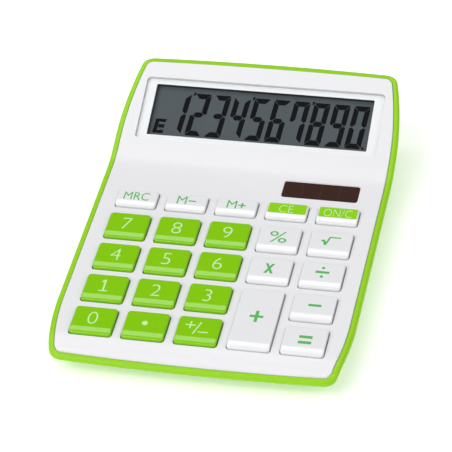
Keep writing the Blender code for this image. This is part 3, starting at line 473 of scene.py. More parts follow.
def add_object(name, data):
    made = bpy.data.objects.new(name, data)
    bpy.context.scene.collection.objects.link(made)
    return made


def make_object(name, bm, place, finish):
    """Turns a bmesh in its own frame into an object in the row frame."""
    bmesh.ops.remove_doubles(bm, verts=bm.verts, dist=WELD)
    bmesh.ops.recalc_face_normals(bm, faces=bm.faces)
    bm.transform(place)
    mesh = bpy.data.meshes.new(name)
    bm.to_mesh(mesh)
    bm.free()
    if finish is not None:
        mesh.materials.append(finish)
    return add_object(name, mesh)


def draw(name, function, place, finish, *details):
    bm = bmesh.new()
    function(bm, *details)
    return make_object(name, bm, place, finish)


def cut(target, *steps):
    """Applies Boolean steps in order: a drawing function, its frame, and "UNION" to add to it."""
    for function, place, *operation in steps:
        step = target.modifiers.new("step", "BOOLEAN")
        step.operation = operation[0] if operation else "DIFFERENCE"
        step.solver = "EXACT"
        step.object = draw("cutter", function, place, None)
    graph = bpy.context.evaluated_depsgraph_get()
    mesh = bpy.data.meshes.new_from_object(target.evaluated_get(graph))
    cutters = [step.object for step in target.modifiers]
    target.modifiers.clear()
    target.data = mesh
    for cutter in cutters:
        bpy.data.objects.remove(cutter)


def polish(made, angle=32.0):
    """Smooth shading that stays sharp on real corners and flat on flat faces."""
    made.data.shade_smooth()
    made.data.set_sharp_from_angle(angle=radians(angle))
    even = made.modifiers.new("even_normals", "WEIGHTED_NORMAL")
    even.weight = 100
    even.keep_sharp = True
    return made


def place_piece(made, material_slot, *nodes, body="housing"):
    """Rides the piece on its body and hides the frame nodes it stands for."""
    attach(made, body)
    if nodes:
        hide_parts(*nodes)


def at(points, n):
    """Flat points (x, s) as a ring at height n."""
    return [Vector((x, s, n)) for x, s in points]


def skin(bm, rings):
    """Skins rings of equal length and returns their rows of vertices."""
    rows = [[bm.verts.new(point) for point in ring] for ring in rings]
    count = len(rows[0])
    for low, high in zip(rows, rows[1:]):
        for i in range(count):
            j = (i + 1) % count
            bm.faces.new((low[i], low[j], high[j], high[i]))
    return rows


def fill_across(bm, row, end_points=0):
    """Closes a ring whose right and left sides mirror each other with strips across it."""
    side = (len(row) - 2 * end_points) // 2
    right, back = row[:side], row[side:side + end_points]
    left, front = row[side + end_points:2 * side + end_points][::-1], row[2 * side + end_points:]
    for i in range(side - 1):
        bm.faces.new((right[i], right[i + 1], left[i + 1], left[i]))
    if end_points:
        bm.faces.new([right[-1], *back, left[-1]])
        bm.faces.new([left[0], *front, right[0]])


def close_ends(bm, rings, end_points=0):
    """Skins rings and closes both ends with strips."""
    rows = skin(bm, rings)
    fill_across(bm, rows[0], end_points)
    fill_across(bm, rows[-1], end_points)


def add_loft(bm, rings):
    """Skins rings of equal length, with a flat cap at each end."""
    rows = skin(bm, rings)
    bm.faces.new(rows[0])
    bm.faces.new(list(reversed(rows[-1])))


def add_prism(bm, points, low, high):
    add_loft(bm, [at(points, low), at(points, high)])


def add_box(bm, low, high):
    corners = [(low[0], low[1]), (high[0], low[1]), (high[0], high[1]), (low[0], high[1])]
    add_prism(bm, corners, low[2], high[2])


def add_turned(bm, centre, levels, count=32):
    """Stacks circles: levels is a list of (radius, n)."""
    x, s = centre
    add_loft(bm, [at(disc(x, s, radius, count), n) for radius, n in levels])


def rounded(x0, x1, s0, s1, radius, steps=6, stations=()):
    """Rounded rectangle as right side, front to back, then its mirror image on the left."""
    middle, x = (x0 + x1) / 2, x1 - radius
    right = []
    for i in range(steps + 1):
        angle = -pi / 2 * (1 - i / steps)
        right.append((x + radius * cos(angle), s0 + radius + radius * sin(angle)))
    right += [(x1, s) for s in stations]
    for i in range(steps + 1):
        angle = pi / 2 * i / steps
        right.append((x + radius * cos(angle), s1 - radius + radius * sin(angle)))
    return right + [(2 * middle - x, s) for x, s in reversed(right)]


def grown(edges, grow):
    """Rounded rectangle from (x0, x1, s0, s1, radius), moved outwards by grow."""
    x0, x1, s0, s1, radius = edges
    return rounded(x0 - grow, x1 + grow, s0 - grow, s1 + grow, radius + grow)


def edge_steps(radius, count):
    """Steps of a quarter-round edge as (inset, drop), from the side wall up to the flat top."""
    turns = [pi / 2 * i / count for i in range(count + 1)]
    return [(radius * (1 - cos(t)), radius * (1 - sin(t))) for t in turns]


def plate(bm, edges_of, low, high):
    """Clear plate with a rounded top edge that fills its recess up to LENS_GAP."""
    rings = [at(rounded(*edges_of(LENS_REACH)), low)]
    for inset, drop in edge_steps(LENS_EDGE, 3):
        rings.append(at(rounded(*edges_of(LENS_REACH - inset)), high - drop))
    close_ends(bm, rings)


def add_frame(bm, outer, inner, low, high):
    """Flat frame between two outlines."""
    rings = ((outer, high), (inner, high), (inner, low), (outer, low), (outer, high))
    skin(bm, [at(points, n) for points, n in rings])


# ---- case

def rim_ring(offset, drop):
    return [Vector((p.x, p.y, rim_height(p.y) - drop)) for p in outline(offset)]


def level_ring(offset, z):
    return [Vector((p.x, p.y, n_at_world_z(p.y, z))) for p in outline(offset)]


def bezier(points, count):
    a, b, c, d = (Vector(p) for p in points)
    curve = []
    for i in range(count + 1):
        t = i / count
        r = 1 - t
        curve.append(a * r ** 3 + b * 3 * r * r * t + c * 3 * r * t * t + d * t ** 3)
    return curve


# The case's section as offset outwards from the rim line and drop below it, in mm, and its foot as
# offset and world height; four pairs are the points of a Bezier curve.
CASE_INSIDE = ((-3.3, 5.0), (-1.4, 2.2), (0.0, 2.2))
CASE_SHOULDER = ((1.0, 0.0), (1.55, 0.02), (2.1, 0.55), (RIM_BULGE / MM, 1.3))
CASE_WALL = ((2.1, 1.3), (2.1, 2.3), (0.6, 3.1), (-2.4, 6.0))
CASE_FOOT = ((-5.4, 2.3), (-5.7, 1.55), (-5.95, 1.05), (-6.9, 1.0))
FLOOR_INSET = 7.6 * MM
LIP = 0.12 * MM


def draw_case(bm):
    rings = [level_ring(-FLOOR_INSET, FLOOR_TOP)]
    rings += [rim_ring(x * MM, d * MM) for x, d in CASE_INSIDE]
    rings += [rim_ring(0.0, LIP), rim_ring(LIP * 0.3, LIP * 0.3), rim_ring(LIP, 0.0)]
    rings += [rim_ring(x * MM, d * MM) for x, d in bezier(CASE_SHOULDER, 8)]
    rings += [rim_ring(x * MM, d * MM) for x, d in bezier(CASE_WALL, 8)[1:]]
    rings += [level_ring(x * MM, z * MM) for x, z in bezier(CASE_FOOT, 5)]
    close_ends(bm, rings, END_STEPS - 1)


def draw_door_slot(bm):
    half, flange = DOOR_HALF + GAP, DOOR_FLANGE_HALF + GAP
    top, ledge = DOOR_TOP + GAP, DOOR_FLANGE_LOW - GAP
    ease = 0.25 * MM
    profile = [
        (-half - ease, 0.0), (half + ease, 0.0), (half + ease, CASE_BOTTOM),
        (half, CASE_BOTTOM + ease), (half, ledge), (flange, ledge), (flange, top),
        (-flange, top), (-flange, ledge), (-half, ledge),
        (-half, CASE_BOTTOM + ease), (-half - ease, CASE_BOTTOM),
    ]
    ends = (DOOR_FRONT_Y - GAP, FAR)
    add_loft(bm, [[Vector((CELL_X + x, y, z)) for x, z in profile] for y in ends])


def draw_contact_slots(bm):
    """Room for the negative contact over the cell and for the positive one beside it."""
    half = 1.8 * MM
    low = (CELL_X - HOUSING_HALF - 2 * MM, CELL_Y - half, CUP_TOP - 0.85 * MM)
    add_box(bm, low, (CELL_X - 1 * MM, CELL_Y + half, CUP_TOP + 0.05 * MM))
    half, side = 2.3 * MM, CELL_X + CELL_RADIUS
    low = (side - 0.4 * MM, CELL_Y - half, DOOR_TOP + 0.1 * MM)
    add_box(bm, low, (side + 1.3 * MM, CELL_Y + half, HOUSING_TOP + 1 * MM))


def floor_n(s):
    return n_at_world_z(s, CASE_BOTTOM)


def draw_screw_posts(bm):
    for x, s in SCREW_PLACES.values():
        add_turned(bm, (x, s), [(POST_RADII[0], floor_n(s) + 0.7 * MM), (POST_RADII[1], POST_TOP)])


def draw_screw_holes(bm):
    ease, seat = 0.35 * MM, 2.2 * MM
    head, shaft = SCREW_HEAD + GAP, SCREW_SHAFT + GAP
    for x, s in SCREW_PLACES.values():
        bottom = floor_n(s)
        add_turned(bm, (x, s), [
            (head + 3 * ease, bottom - 2 * ease), (head, bottom + ease), (head, bottom + seat),
            (shaft, bottom + seat), (shaft, POST_TOP + 1 * MM),
        ])


def draw_foot_recesses(bm):
    ease, radius = 0.2 * MM, FOOT_RADIUS + GAP
    for place in FOOT_PLACES.values():
        add_turned(bm, place, [
            (radius + 3 * ease, CASE_BOTTOM - 2 * ease),
            (radius, CASE_BOTTOM + ease), (radius, CASE_BOTTOM + FOOT_RECESS),
        ], 40)


def draw_battery_housing(bm):
    low = (CELL_X - HOUSING_HALF, CELL_Y - HOUSING_HALF, HOUSING_BOTTOM)
    add_box(bm, low, (CELL_X + HOUSING_HALF, CELL_Y + HOUSING_HALF, HOUSING_TOP))


def draw_battery_cup(bm):
    radius = CELL_RADIUS + GAP
    add_turned(bm, (CELL_X, CELL_Y), [(radius, DOOR_TOP), (radius, CUP_TOP)], 48)


def draw_label_field(bm):
    """Shallow field on the underside where a maker would put a label; it is left blank."""
    x0, x1, y0, y1 = LABEL_FIELD
    rings = []
    for inset, lift in ((-0.25 * MM, -0.2 * MM), (0.1 * MM, 0.15 * MM)):
        points = rounded(x0 + inset, x1 - inset, y0 + inset, y1 - inset, 2 * MM)
        rings.append(at(points, CASE_BOTTOM + lift))
    add_loft(bm, rings)


def make_case():
    case = draw("case_shell", draw_case, KEYPAD, GREEN)
    cut(
        case,
        (draw_battery_housing, WORLD, "UNION"),
        (draw_screw_posts, KEYPAD, "UNION"),
        (draw_battery_cup, WORLD),
        (draw_door_slot, WORLD),
        (draw_contact_slots, WORLD),
        (draw_screw_holes, KEYPAD),
        (draw_foot_recesses, WORLD),
        (draw_label_field, WORLD),
    )
    place_piece(polish(case), "green_case", "bottom_case")


# ---- cover

def cover_ring(offset, drop):
    ring = outline(-COVER_INSET + offset)
    return [Vector((p.x, p.y, cover_height(p.y) - drop)) for p in ring]


def plate_thickness(s):
    """Plate under the keys, growing to the thicker plate round the display."""
    share = min(1.0, max(0.0, (s - VALLEY) / (2 * MM)))
    return KEYPAD_PLATE + (DISPLAY_PLATE - KEYPAD_PLATE) * share


def draw_cover(bm):
    inner = outline(-COVER_INSET - COVER_WALL)
    rings = [[Vector((p.x, p.y, cover_height(p.y) - plate_thickness(p.y))) for p in inner]]
    skirt = COVER_DEPTH + COVER_CROWN
    rings += [cover_ring(-COVER_WALL, skirt), cover_ring(0.0, skirt)]
    rings += [cover_ring(-inset, drop) for inset, drop in edge_steps(COVER_EDGE, 5)]
    close_ends(bm, rings, END_STEPS - 1)


def flare(radius, steps=3):
    """Steps of a rounded mouth as (grow, lift) for a cutter, from the wall up past the surface."""
    turns = [pi / 2 * i / steps for i in range(steps)]
    mouth = [(radius * (1 - cos(t)), -radius * (1 - sin(t))) for t in turns]
    return mouth + [(radius * 1.05, 0.0), (radius * 1.3, 0.3 * MM)]


def draw_key_holes(bm):
    side = GAP * KEY_GAP_SHARE
    half = KEY_WIDTH / 2 + side
    for key in KEYS.values():
        x = key["x"]
        edges = (x - half, x + half, key["front"] - side, key["back"] + side, KEY_CORNER)
        rings = [at(grown(edges, 0.0), -THROUGH)]
        for grow, lift in flare(KEY_HOLE_MOUTH):
            points = grown(edges, grow)
            rings.append([Vector((x, s, cover_height(s) + lift)) for x, s in points])
        close_ends(bm, rings)


def draw_recess(bm, edges, floor, surface, mouth):
    rings = [at(grown(edges, grow), surface + lift) for grow, lift in flare(mouth)]
    add_loft(bm, [at(grown(edges, 0.0), floor)] + rings)


def lens_edges(grow):
    return (
        -LENS_HALF - grow, LENS_HALF + grow, LENS_LOW - grow, LENS_HIGH + grow, LENS_CORNER + grow
    )


def draw_display_recess(bm):
    draw_recess(bm, lens_edges(GAP), LENS_TOP - LENS_THICK - GAP, 0.0, RECESS_MOUTH)


def draw_display_window(bm):
    inside = LENS_HALF - WINDOW_LEDGE
    low, high = LENS_LOW + WINDOW_LEDGE, LENS_HIGH - WINDOW_LEDGE
    add_prism(bm, rounded(-inside, inside, low, high, WINDOW_CORNER), -THROUGH, THROUGH)


def solar_edges(grow):
    x, s = SOLAR_CENTRE
    half_x, half_s = SOLAR_SIZE[0] / 2 + grow, SOLAR_SIZE[1] / 2 + grow
    return x - half_x, x + half_x, s - half_s, s + half_s, max(SOLAR_CORNER + grow, MIN_CORNER)


def draw_solar_recess(bm):
    draw_recess(bm, solar_edges(GAP), SOLAR_TOP - SOLAR_THICK - GAP, SOLAR_SURFACE, LENS_EDGE)


def draw_solar_opening(bm):
    add_prism(bm, rounded(*solar_edges(-SOLAR_LEDGE)), -THROUGH, THROUGH - 1 * MM)


def make_cover():
    cover = draw("cover_plate", draw_cover, KEYPAD, WHITE)
    cut(
        cover,
        (draw_key_holes, KEYPAD),
        (draw_display_recess, DISPLAY),
        (draw_display_window, DISPLAY),
        (draw_solar_recess, KEYPAD),
        (draw_solar_opening, KEYPAD),
    )
    place_piece(polish(cover), "white_cover", "top_cover")


# ---- keys

def key_centre(key):
    return key["x"], (key["front"] + key["back"]) / 2


def key_height(key):
    """Height of the key's top at s: flat, a soft fold, an even facet, then a steeper front."""
    length = key["fold"] - key["front"]
    start = tan(FACET_SLOPE)
    bend = (KEY_DROP - start * length) / (length * (1 - FACET_SHARE)) ** 2

    def height(s):
        past = key["fold"] - s
        soft = 0.5 * (past + hypot(past, FOLD_BLEND)) if past > -4 * FOLD_BLEND else 0.0
        return -(start * soft + bend * max(0.0, past - length * FACET_SHARE) ** 2)

    return height


def key_stations(key):
    """Values of s along a key's sides: close together over the fold, then spread over the facet."""
    front = key["front"] + KEY_CORNER
    near = [key["fold"] + FOLD_BLEND * i for i in (-2.0, -1.2, -0.6, 0.0, 0.6, 1.2, 2.0, 3.4)]
    length = near[0] - front
    facet = [front + length * i / 4 for i in (1, 2, 3)] if length > 1 * MM else []
    return [s for s in facet + near if s > front + 0.05 * MM]


def draw_key(bm, key):
    height = key_height(key)
    stations = key_stations(key)

    def outline_of(grow):
        half = KEY_WIDTH / 2 + grow
        return rounded(
            key["x"] - half, key["x"] + half, key["front"] - grow, key["back"] + grow,
            max(KEY_CORNER + grow, MIN_CORNER), stations=stations,
        )

    x, middle = key_centre(key)
    angles = [atan2(p.y - middle, p.x - x) for p in at(outline_of(0.0), 0.0)]
    stub = [(x + STUB_RADIUS * cos(a), middle + STUB_RADIUS * sin(a)) for a in angles]
    flange = outline_of(KEY_FLANGE)
    rings = [
        at(stub, -STUB_BOTTOM), at(stub, -FLANGE_BOTTOM),
        at(flange, -FLANGE_BOTTOM), at(flange, -KEY_SKIRT), at(outline_of(0.0), -KEY_SKIRT),
    ]
    for inset, drop in edge_steps(KEY_EDGE, 5):
        rings.append([Vector((x, s, height(s) - drop)) for x, s in outline_of(-inset)])
    rows = skin(bm, rings)
    bm.faces.new(rows[0])
    fill_across(bm, rows[-1])


# ---- legends

INK_RAISE = 0.025 * MM


def ink_mesh(bm, polygons, low, high):
    """Adds flat outlines as thin raised plates."""
    for points in polygons:
        add_prism(bm, points, low, high)


def text_mesh(name, text, height, weight, width=None):
    """Letters as a closed thin mesh, centred on the origin, in metres; weight thins the strokes."""
    data = bpy.data.curves.new(name, "FONT")
    data.body = text
    data.size = 1.0
    data.offset = -weight
    data.extrude = 0.5
    data.resolution_u = 6
    data.fill_mode = "BOTH"
    holder = add_object(name + "_text", data)
    graph = bpy.context.evaluated_depsgraph_get()
    graph.update()
    mesh = bpy.data.meshes.new_from_object(holder.evaluated_get(graph))
    bpy.data.objects.remove(holder)
    xs, ys = [v.co.x for v in mesh.vertices], [v.co.y for v in mesh.vertices]
    scale = height / (max(ys) - min(ys))
    across = width / (max(xs) - min(xs)) if width else scale
    middle = Vector(((max(xs) + min(xs)) / 2, (max(ys) + min(ys)) / 2, 0))
    mesh.transform(Matrix.Translation(-middle))
    mesh.transform(Matrix.Diagonal((across, scale, 2 * INK_RAISE, 1.0)))
    return mesh


def add_legend(name, key_name, mesh, centre, finish, lift=0.0):
    mesh.materials.clear()
    mesh.materials.append(finish)
    mesh.transform(KEYPAD @ Matrix.Translation((*centre, lift)))
    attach(add_object(name, mesh), key_name)


def add_marks(name, key_name, polygons, finish):
    """Legend drawn from flat outlines in the keypad frame."""
    made = draw(name, ink_mesh, KEYPAD, finish, polygons, -INK_RAISE, INK_RAISE)
    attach(made, key_name)


def bar(x, s, width, height):
    left, right, low, high = x - width / 2, x + width / 2, s - height / 2, s + height / 2
    return [(left, low), (right, low), (right, high), (left, high)]


def disc(x, s, radius, count=24):
    turn = 2 * pi / count
    return [(x + radius * cos(turn * i), s + radius * sin(turn * i)) for i in range(count)]


def stroke(a, b, width):
    """Straight stroke between two points."""
    a, b = Vector(a), Vector(b)
    ahead = (b - a).normalized() * width / 2
    side = Vector((-ahead.y, ahead.x))
    return [tuple(p) for p in (a - side, b - side, b + side, a + side)]


def cross_outline(x, s, reach_x, reach_s, width):
    """Outline of a plus sign."""
    half = width / 2
    return [
        (x - half, s - reach_s), (x + half, s - reach_s), (x + half, s - half),
        (x + reach_x, s - half), (x + reach_x, s + half), (x + half, s + half),
        (x + half, s + reach_s), (x - half, s + reach_s), (x - half, s + half),
        (x - reach_x, s + half), (x - reach_x, s - half), (x - half, s - half),
    ]


def times_outline(x, s, half_x, half_s, width):
    """Outline of a tall multiplication sign."""
    long = hypot(half_x, half_s)
    foot, waist = width / 2 * long / half_s, width / 2 * long / half_x
    return [
        (x - half_x - foot, s - half_s), (x - half_x + foot, s - half_s), (x, s - waist),
        (x + half_x - foot, s - half_s), (x + half_x + foot, s - half_s), (x + foot, s),
        (x + half_x + foot, s + half_s), (x + half_x - foot, s + half_s), (x, s + waist),
        (x - half_x + foot, s + half_s), (x - half_x - foot, s + half_s), (x - foot, s),
    ]


def root_outline(x, s):
    """Root sign: a short lead, a tick and a long flat bar."""
    corners = [
        (-3.45, 0.1), (-3.3, -0.5), (-2.75, -0.4), (-2.1, -2.3), (-1.4, -2.3), (-0.2, 1.55),
        (3.4, 1.55), (3.4, 2.15), (-0.75, 2.15), (-1.6, -0.75), (-2.3, 0.55),
    ]
    return [(x + dx * MM, s + ds * MM) for dx, ds in corners]


DIGIT_HEIGHT = 5.8 * MM
DIGIT_SHIFT = (-0.35 * MM, -0.3 * MM)
ONE_SHIFT = -0.4 * MM
DIGIT_THIN = 0.017
TEXT_THIN = 0.003
PLATED_THIN = 0.016
PLATED = ("key_clear_entry", "key_on_clear")
LETTER_HEIGHT = 4.1
WORDS = (  # key, text, height, width, shift of its centre in x and in s, all in mm
    ("key_percent", "%", 5.7, 6.4, -0.35, -0.3),
    ("key_memory_recall", "MRC", LETTER_HEIGHT, 9.4, -0.3, 0.0),
    ("key_clear_entry", "CE", 3.9, 5.1, -0.4, 0.0),
    ("key_on_clear", "ON/C", 3.9, 10.2, -0.1, 0.0),
)
BOLD = 1.12
THIN = 0.5


def legend_centre(name):
    return KEYS[name]["x"], KEYS[name]["middle"]


def one_outline(x, s):
    """The digit one with a flag and a flat foot."""
    tall, thin, foot = DIGIT_HEIGHT / 2, 0.33 * MM, 0.52 * MM
    reach = 1.55 * MM
    return [
        (x - reach, s - tall), (x + reach, s - tall), (x + reach, s - tall + foot),
        (x + thin, s - tall + foot), (x + thin, s + tall), (x - thin * 0.9, s + tall),
        (x - 1.3 * MM, s + tall - 1.05 * MM), (x - 1.1 * MM, s + tall - 1.6 * MM),
        (x - thin, s + tall - 1.05 * MM), (x - thin, s - tall + foot),
        (x - reach, s - tall + foot),
    ]


def make_digits():
    for digit in "023456789":
        x, s = legend_centre("key_" + digit)
        mesh = text_mesh("digit_" + digit, digit, DIGIT_HEIGHT, DIGIT_THIN)
        centre = (x + DIGIT_SHIFT[0], s + DIGIT_SHIFT[1])
        add_legend("legend_" + digit, "key_" + digit, mesh, centre, WHITE_INK)
    x, s = legend_centre("key_1")
    add_marks("legend_1", "key_1", [one_outline(x + ONE_SHIFT, s + DIGIT_SHIFT[1])], WHITE_INK)


def make_words():
    for name, text, height, width, across, along in WORDS:
        x, s = legend_centre(name)
        plated = name in PLATED
        thin = PLATED_THIN if plated else TEXT_THIN
        mesh = text_mesh("text_" + name, text, height * MM, thin, width * MM)
        centre = (x + across * MM, s + along * MM)
        finish, lift = (WHITE_INK, 2 * INK_RAISE) if plated else (GREEN_INK, 0.0)
        add_legend("legend_" + name[4:], name, mesh, centre, finish, lift)


def make_memory_signs():
    wide, thick = 2.7 * MM, 0.62 * MM
    for name in ("key_memory_minus", "key_memory_plus"):
        x, s = legend_centre(name)
        mesh = text_mesh("text_" + name, "M", LETTER_HEIGHT * MM, TEXT_THIN, 3.5 * MM)
        add_legend("legend_" + name[4:] + "_m", name, mesh, (x - 1.85 * MM, s), GREEN_INK)
        x, s = x + 2.0 * MM, s - 0.2 * MM
        mark = bar(x, s, wide, thick)
        if name == "key_memory_plus":
            mark = cross_outline(x - 0.1 * MM, s, wide / 2, wide / 2, thick)
        add_marks("legend_" + name[4:] + "_mark", name, [mark], GREEN_INK)


def shape(outline_of, x, s, *sizes):
    """An outline to be drawn about a legend's centre, with all its measures in mm."""
    return lambda cx, cs: outline_of(cx + x * MM, cs + s * MM, *(size * MM for size in sizes))


def slash(x, s):
    return stroke((x - 1.45 * MM, s - 3.2 * MM), (x + 0.5 * MM, s + 2.6 * MM), THIN * MM)


WHITE_MARKS = {
    "point": [shape(disc, -0.35, -0.35, 1.05)],
    "sign": [
        shape(cross_outline, -3.0, 0.95, 1.75, 1.75, THIN), slash, shape(bar, 1.9, -2.1, 3.6, THIN)
    ],
}
GREEN_MARKS = {
    "root": [root_outline],
    "multiply": [shape(times_outline, -0.35, -0.4, 1.2, 2.45, BOLD * 0.8)],
    "divide": [
        shape(bar, 0.0, 0.1, 4.9, BOLD), shape(disc, 0.0, 2.3, 0.6), shape(disc, 0.0, -2.1, 0.6)
    ],
    "minus": [shape(bar, 0.4, -0.3, 4.6, BOLD)],
    "plus": [shape(cross_outline, 0.05, -0.1, 2.4, 2.75, BOLD)],
    "equals": [shape(bar, 0.2, s, 4.6, 1.28) for s in (-2.15, 0.5)],
}


def make_marks(marks, finish):
    for name, shapes in marks.items():
        x, s = legend_centre("key_" + name)
        add_marks("legend_" + name, "key_" + name, [made(x, s) for made in shapes], finish)


def make_key_prints():
    """Green printed field on the flat top of the two clear keys."""
    half, edge = KEY_WIDTH / 2 - KEY_EDGE - 0.1 * MM, 0.1 * MM
    for name in PLATED:
        key = KEYS[name]
        x, front, back = key["x"], key["fold"] + edge, key["back"] - KEY_EDGE
        points = rounded(x - half, x + half, front, back, 0.6 * MM)
        add_marks("print_" + name[4:], name, [points], GREEN_PRINT)


def make_keys():
    for name, key in KEYS.items():
        finish, slot = (GREEN_KEY, "green_key") if key["green"] else (WHITE_KEY, "white_key")
        made = draw("cap_" + name, draw_key, KEYPAD, finish, key)
        place_piece(polish(made, 40), slot, name, body=name)


# ---- dome sheet

SHEET_TOP = -6.8 * MM
SHEET_LIP = 0.05 * MM
DOME_HEIGHT = 1.6 * MM
DOME_FOOT = 3.5 * MM
DOME_CROWN = 2.0 * MM
DOME_WALL = 0.5 * MM


def draw_above_sheet(bm):
    """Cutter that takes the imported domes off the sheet, all but a lip."""
    low, high = SHEET_TOP + SHEET_LIP, SHEET_TOP + 2 * DOME_HEIGHT
    add_box(bm, (-60 * MM, -70 * MM, low), (60 * MM, 40 * MM, high))


def draw_dome(bm, centre):
    """A hollow dome, from its ceiling down the inner wall and back up the outer one."""
    crown, foot = SHEET_TOP + DOME_HEIGHT, SHEET_TOP - 0.1 * MM
    add_turned(bm, centre, [
        (DOME_CROWN - DOME_WALL, crown - 0.7 * MM), (DOME_FOOT - DOME_WALL, foot),
        (DOME_FOOT, foot), (DOME_FOOT, SHEET_TOP + 0.12 * MM),
        (DOME_FOOT - 0.25 * MM, SHEET_TOP + 0.3 * MM),
        (DOME_CROWN + 0.1 * MM, crown - 0.25 * MM), (DOME_CROWN - 0.1 * MM, crown),
    ])


def make_dome_sheet():
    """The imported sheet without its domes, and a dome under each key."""
    sheet = add_object("dome_sheet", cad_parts["keypad_rubber"].data.copy())
    sheet.data.materials.clear()
    sheet.data.materials.append(SILICONE)
    cut(sheet, (draw_above_sheet, KEYPAD))
    place_piece(polish(sheet), "keypad_silicone", "keypad_rubber")
    for name, key in KEYS.items():
        centre = key_centre(key)
        dome = draw("dome_" + name, draw_dome, KEYPAD, SILICONE, centre)
        place_piece(polish(dome), "keypad_silicone")
        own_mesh(dome)


# ---- display

SEGMENTS = {
    "0": "abcdef", "1": "bc", "2": "abdeg", "3": "abcdg", "4": "bcfg",
    "5": "acdfg", "6": "acdefg", "7": "abcf", "8": "abcdefg", "9": "abcdfg",
}
LCD_PITCH = 7.583 * MM
LCD_WIDTH = 6.1 * MM
LCD_HEIGHT = 18.45 * MM
LCD_LOW = 6.6 * MM
LCD_LAST_X = 32.9 * MM
SEGMENT_TALL = 2.2 * MM
SEGMENT_WIDE = 1.95 * MM
SEGMENT_GAP = 0.26 * MM
SEGMENT_SLANT = tan(radians(4.6))
SEGMENT_CORNER = 0.35 * MM
SEGMENT_RAISE = 0.04 * MM
POINT_PLACE = (39.77 * MM, 7.05 * MM)
POINT_RADIUS = 0.5 * MM
ERROR_PLACE = (-40.1 * MM, LCD_LOW + 0.1 * MM)
ERROR_WIDE = 4.2 * MM
ERROR_TALL = 6.2 * MM
ERROR_BOLD = 1.45 * MM


def segment_shapes():
    """Outlines of the seven segments of an upright cell with its lower left corner at (0, 0)."""
    wide, tall, side, level = LCD_WIDTH, LCD_HEIGHT, SEGMENT_WIDE, SEGMENT_TALL
    gap, ease = SEGMENT_GAP, SEGMENT_CORNER
    mid = tall / 2
    top = [
        (ease + gap, tall), (wide - ease - gap, tall), (wide - ease * 0.3, tall - ease * 0.7),
        (wide - side + gap * 0.6, tall - level), (side - gap * 0.6, tall - level),
        (ease * 0.3, tall - ease * 0.7),
    ]
    upper = [
        (0.0, tall - ease - gap * 1.6), (ease * 0.3, tall - ease * 0.7 - gap * 1.5),
        (side, tall - level - gap), (side, mid + level / 2 + gap * 0.45),
        (side * 0.45, mid + gap * 0.5), (0.0, mid + gap * 0.5 + side * 0.2),
    ]
    middle = [
        (side * 0.45 + gap, mid), (side + gap * 0.3, mid + level / 2),
        (wide - side - gap * 0.3, mid + level / 2), (wide - side * 0.45 - gap, mid),
        (wide - side - gap * 0.3, mid - level / 2), (side + gap * 0.3, mid - level / 2),
    ]

    def mirror_x(points):
        return [(wide - x, y) for x, y in reversed(points)]

    def mirror_y(points):
        return [(x, tall - y) for x, y in reversed(points)]

    return {
        "a": top, "f": upper, "g": middle, "b": mirror_x(upper),
        "d": mirror_y(top), "e": mirror_y(upper), "c": mirror_y(mirror_x(upper)),
    }


def slanted(points, x, u):
    return [(x + px + py * SEGMENT_SLANT, u + py) for px, py in points]


def digit_polygons():
    """The ten digits, and a tick after each third one counted from the right."""
    shapes = segment_shapes()
    tick = [(-0.35, 0.0), (0.05, 0.2), (0.5, 1.0), (0.5, 1.5), (-0.45, 1.5), (-0.5, 0.9)]
    height = LCD_HEIGHT - 1.15 * MM
    tick = [(px * MM, py * MM + height) for px, py in tick]
    found = []
    for i, digit in enumerate("1234567890"):
        x = LCD_LAST_X - (9 - i) * LCD_PITCH
        found += [slanted(shapes[name], x, LCD_LOW) for name in SEGMENTS[digit]]
        if digit in "147":
            found.append(slanted(tick, x + LCD_WIDTH + 1.1 * MM, LCD_LOW))
    return found


def error_polygons():
    """Small E at the lower left."""
    wide, tall, bold = ERROR_WIDE, ERROR_TALL, ERROR_BOLD
    gap = 0.12 * MM
    start, end, middle = bold + gap, wide - 0.35 * MM, wide - 0.3 * MM
    low, high = tall / 2 - bold / 2, tall / 2 + bold / 2
    shapes = [
        [(0, 0), (bold, bold * 0.6), (bold, tall - bold * 0.6), (0, tall)],
        [(gap, tall), (wide, tall), (end, tall - bold), (start, tall - bold * 0.8)],
        [(start, low), (middle, low), (middle, high), (start, high)],
        [(gap, 0), (start, bold * 0.8), (end, bold), (wide, 0)],
    ]
    return [slanted(points, *ERROR_PLACE) for points in shapes]


def draw_lens_print(bm):
    """White frame printed on the back of the lens."""
    high = LENS_TOP - LENS_THICK - PRINT_GAP
    inner = rounded(-PRINT_HALF, PRINT_HALF, PRINT_LOW, PRINT_HIGH, PRINT_CORNER)
    add_frame(bm, rounded(*lens_edges(LENS_REACH - 0.01 * MM)), inner, high - PRINT_THICK, high)


def draw_lens_mask_and_shade(bm):
    """Black frame between the lens print and the display. Its dark inner edges, pushed further in
    on the left, are painted shade along the window's top and left edges.
    """
    reach = WINDOW_LEDGE + MASK_GAP
    half, low, high = LENS_HALF - reach, LENS_LOW + reach, LENS_HIGH - reach
    outer = rounded(-half, half, low, high, MASK_CORNER)
    # the left edge sits further in than the print so the black shows there as a painted shade band
    left, low = -PRINT_HALF + MASK_SHADE_LEFT, PRINT_LOW - 0.1 * MM
    inner = rounded(left, PRINT_HALF, low, PRINT_HIGH, PRINT_CORNER)
    add_frame(bm, outer, inner, GLASS_TOP + MASK_BELOW, LENS_TOP - LENS_THICK - MASK_ABOVE)


def draw_front_glass(bm):
    points = rounded(-GLASS_HALF, GLASS_HALF, *FRONT_GLASS, 0.4 * MM, 4)
    add_prism(bm, points, GLASS_TOP - GLASS_THICK, GLASS_TOP)


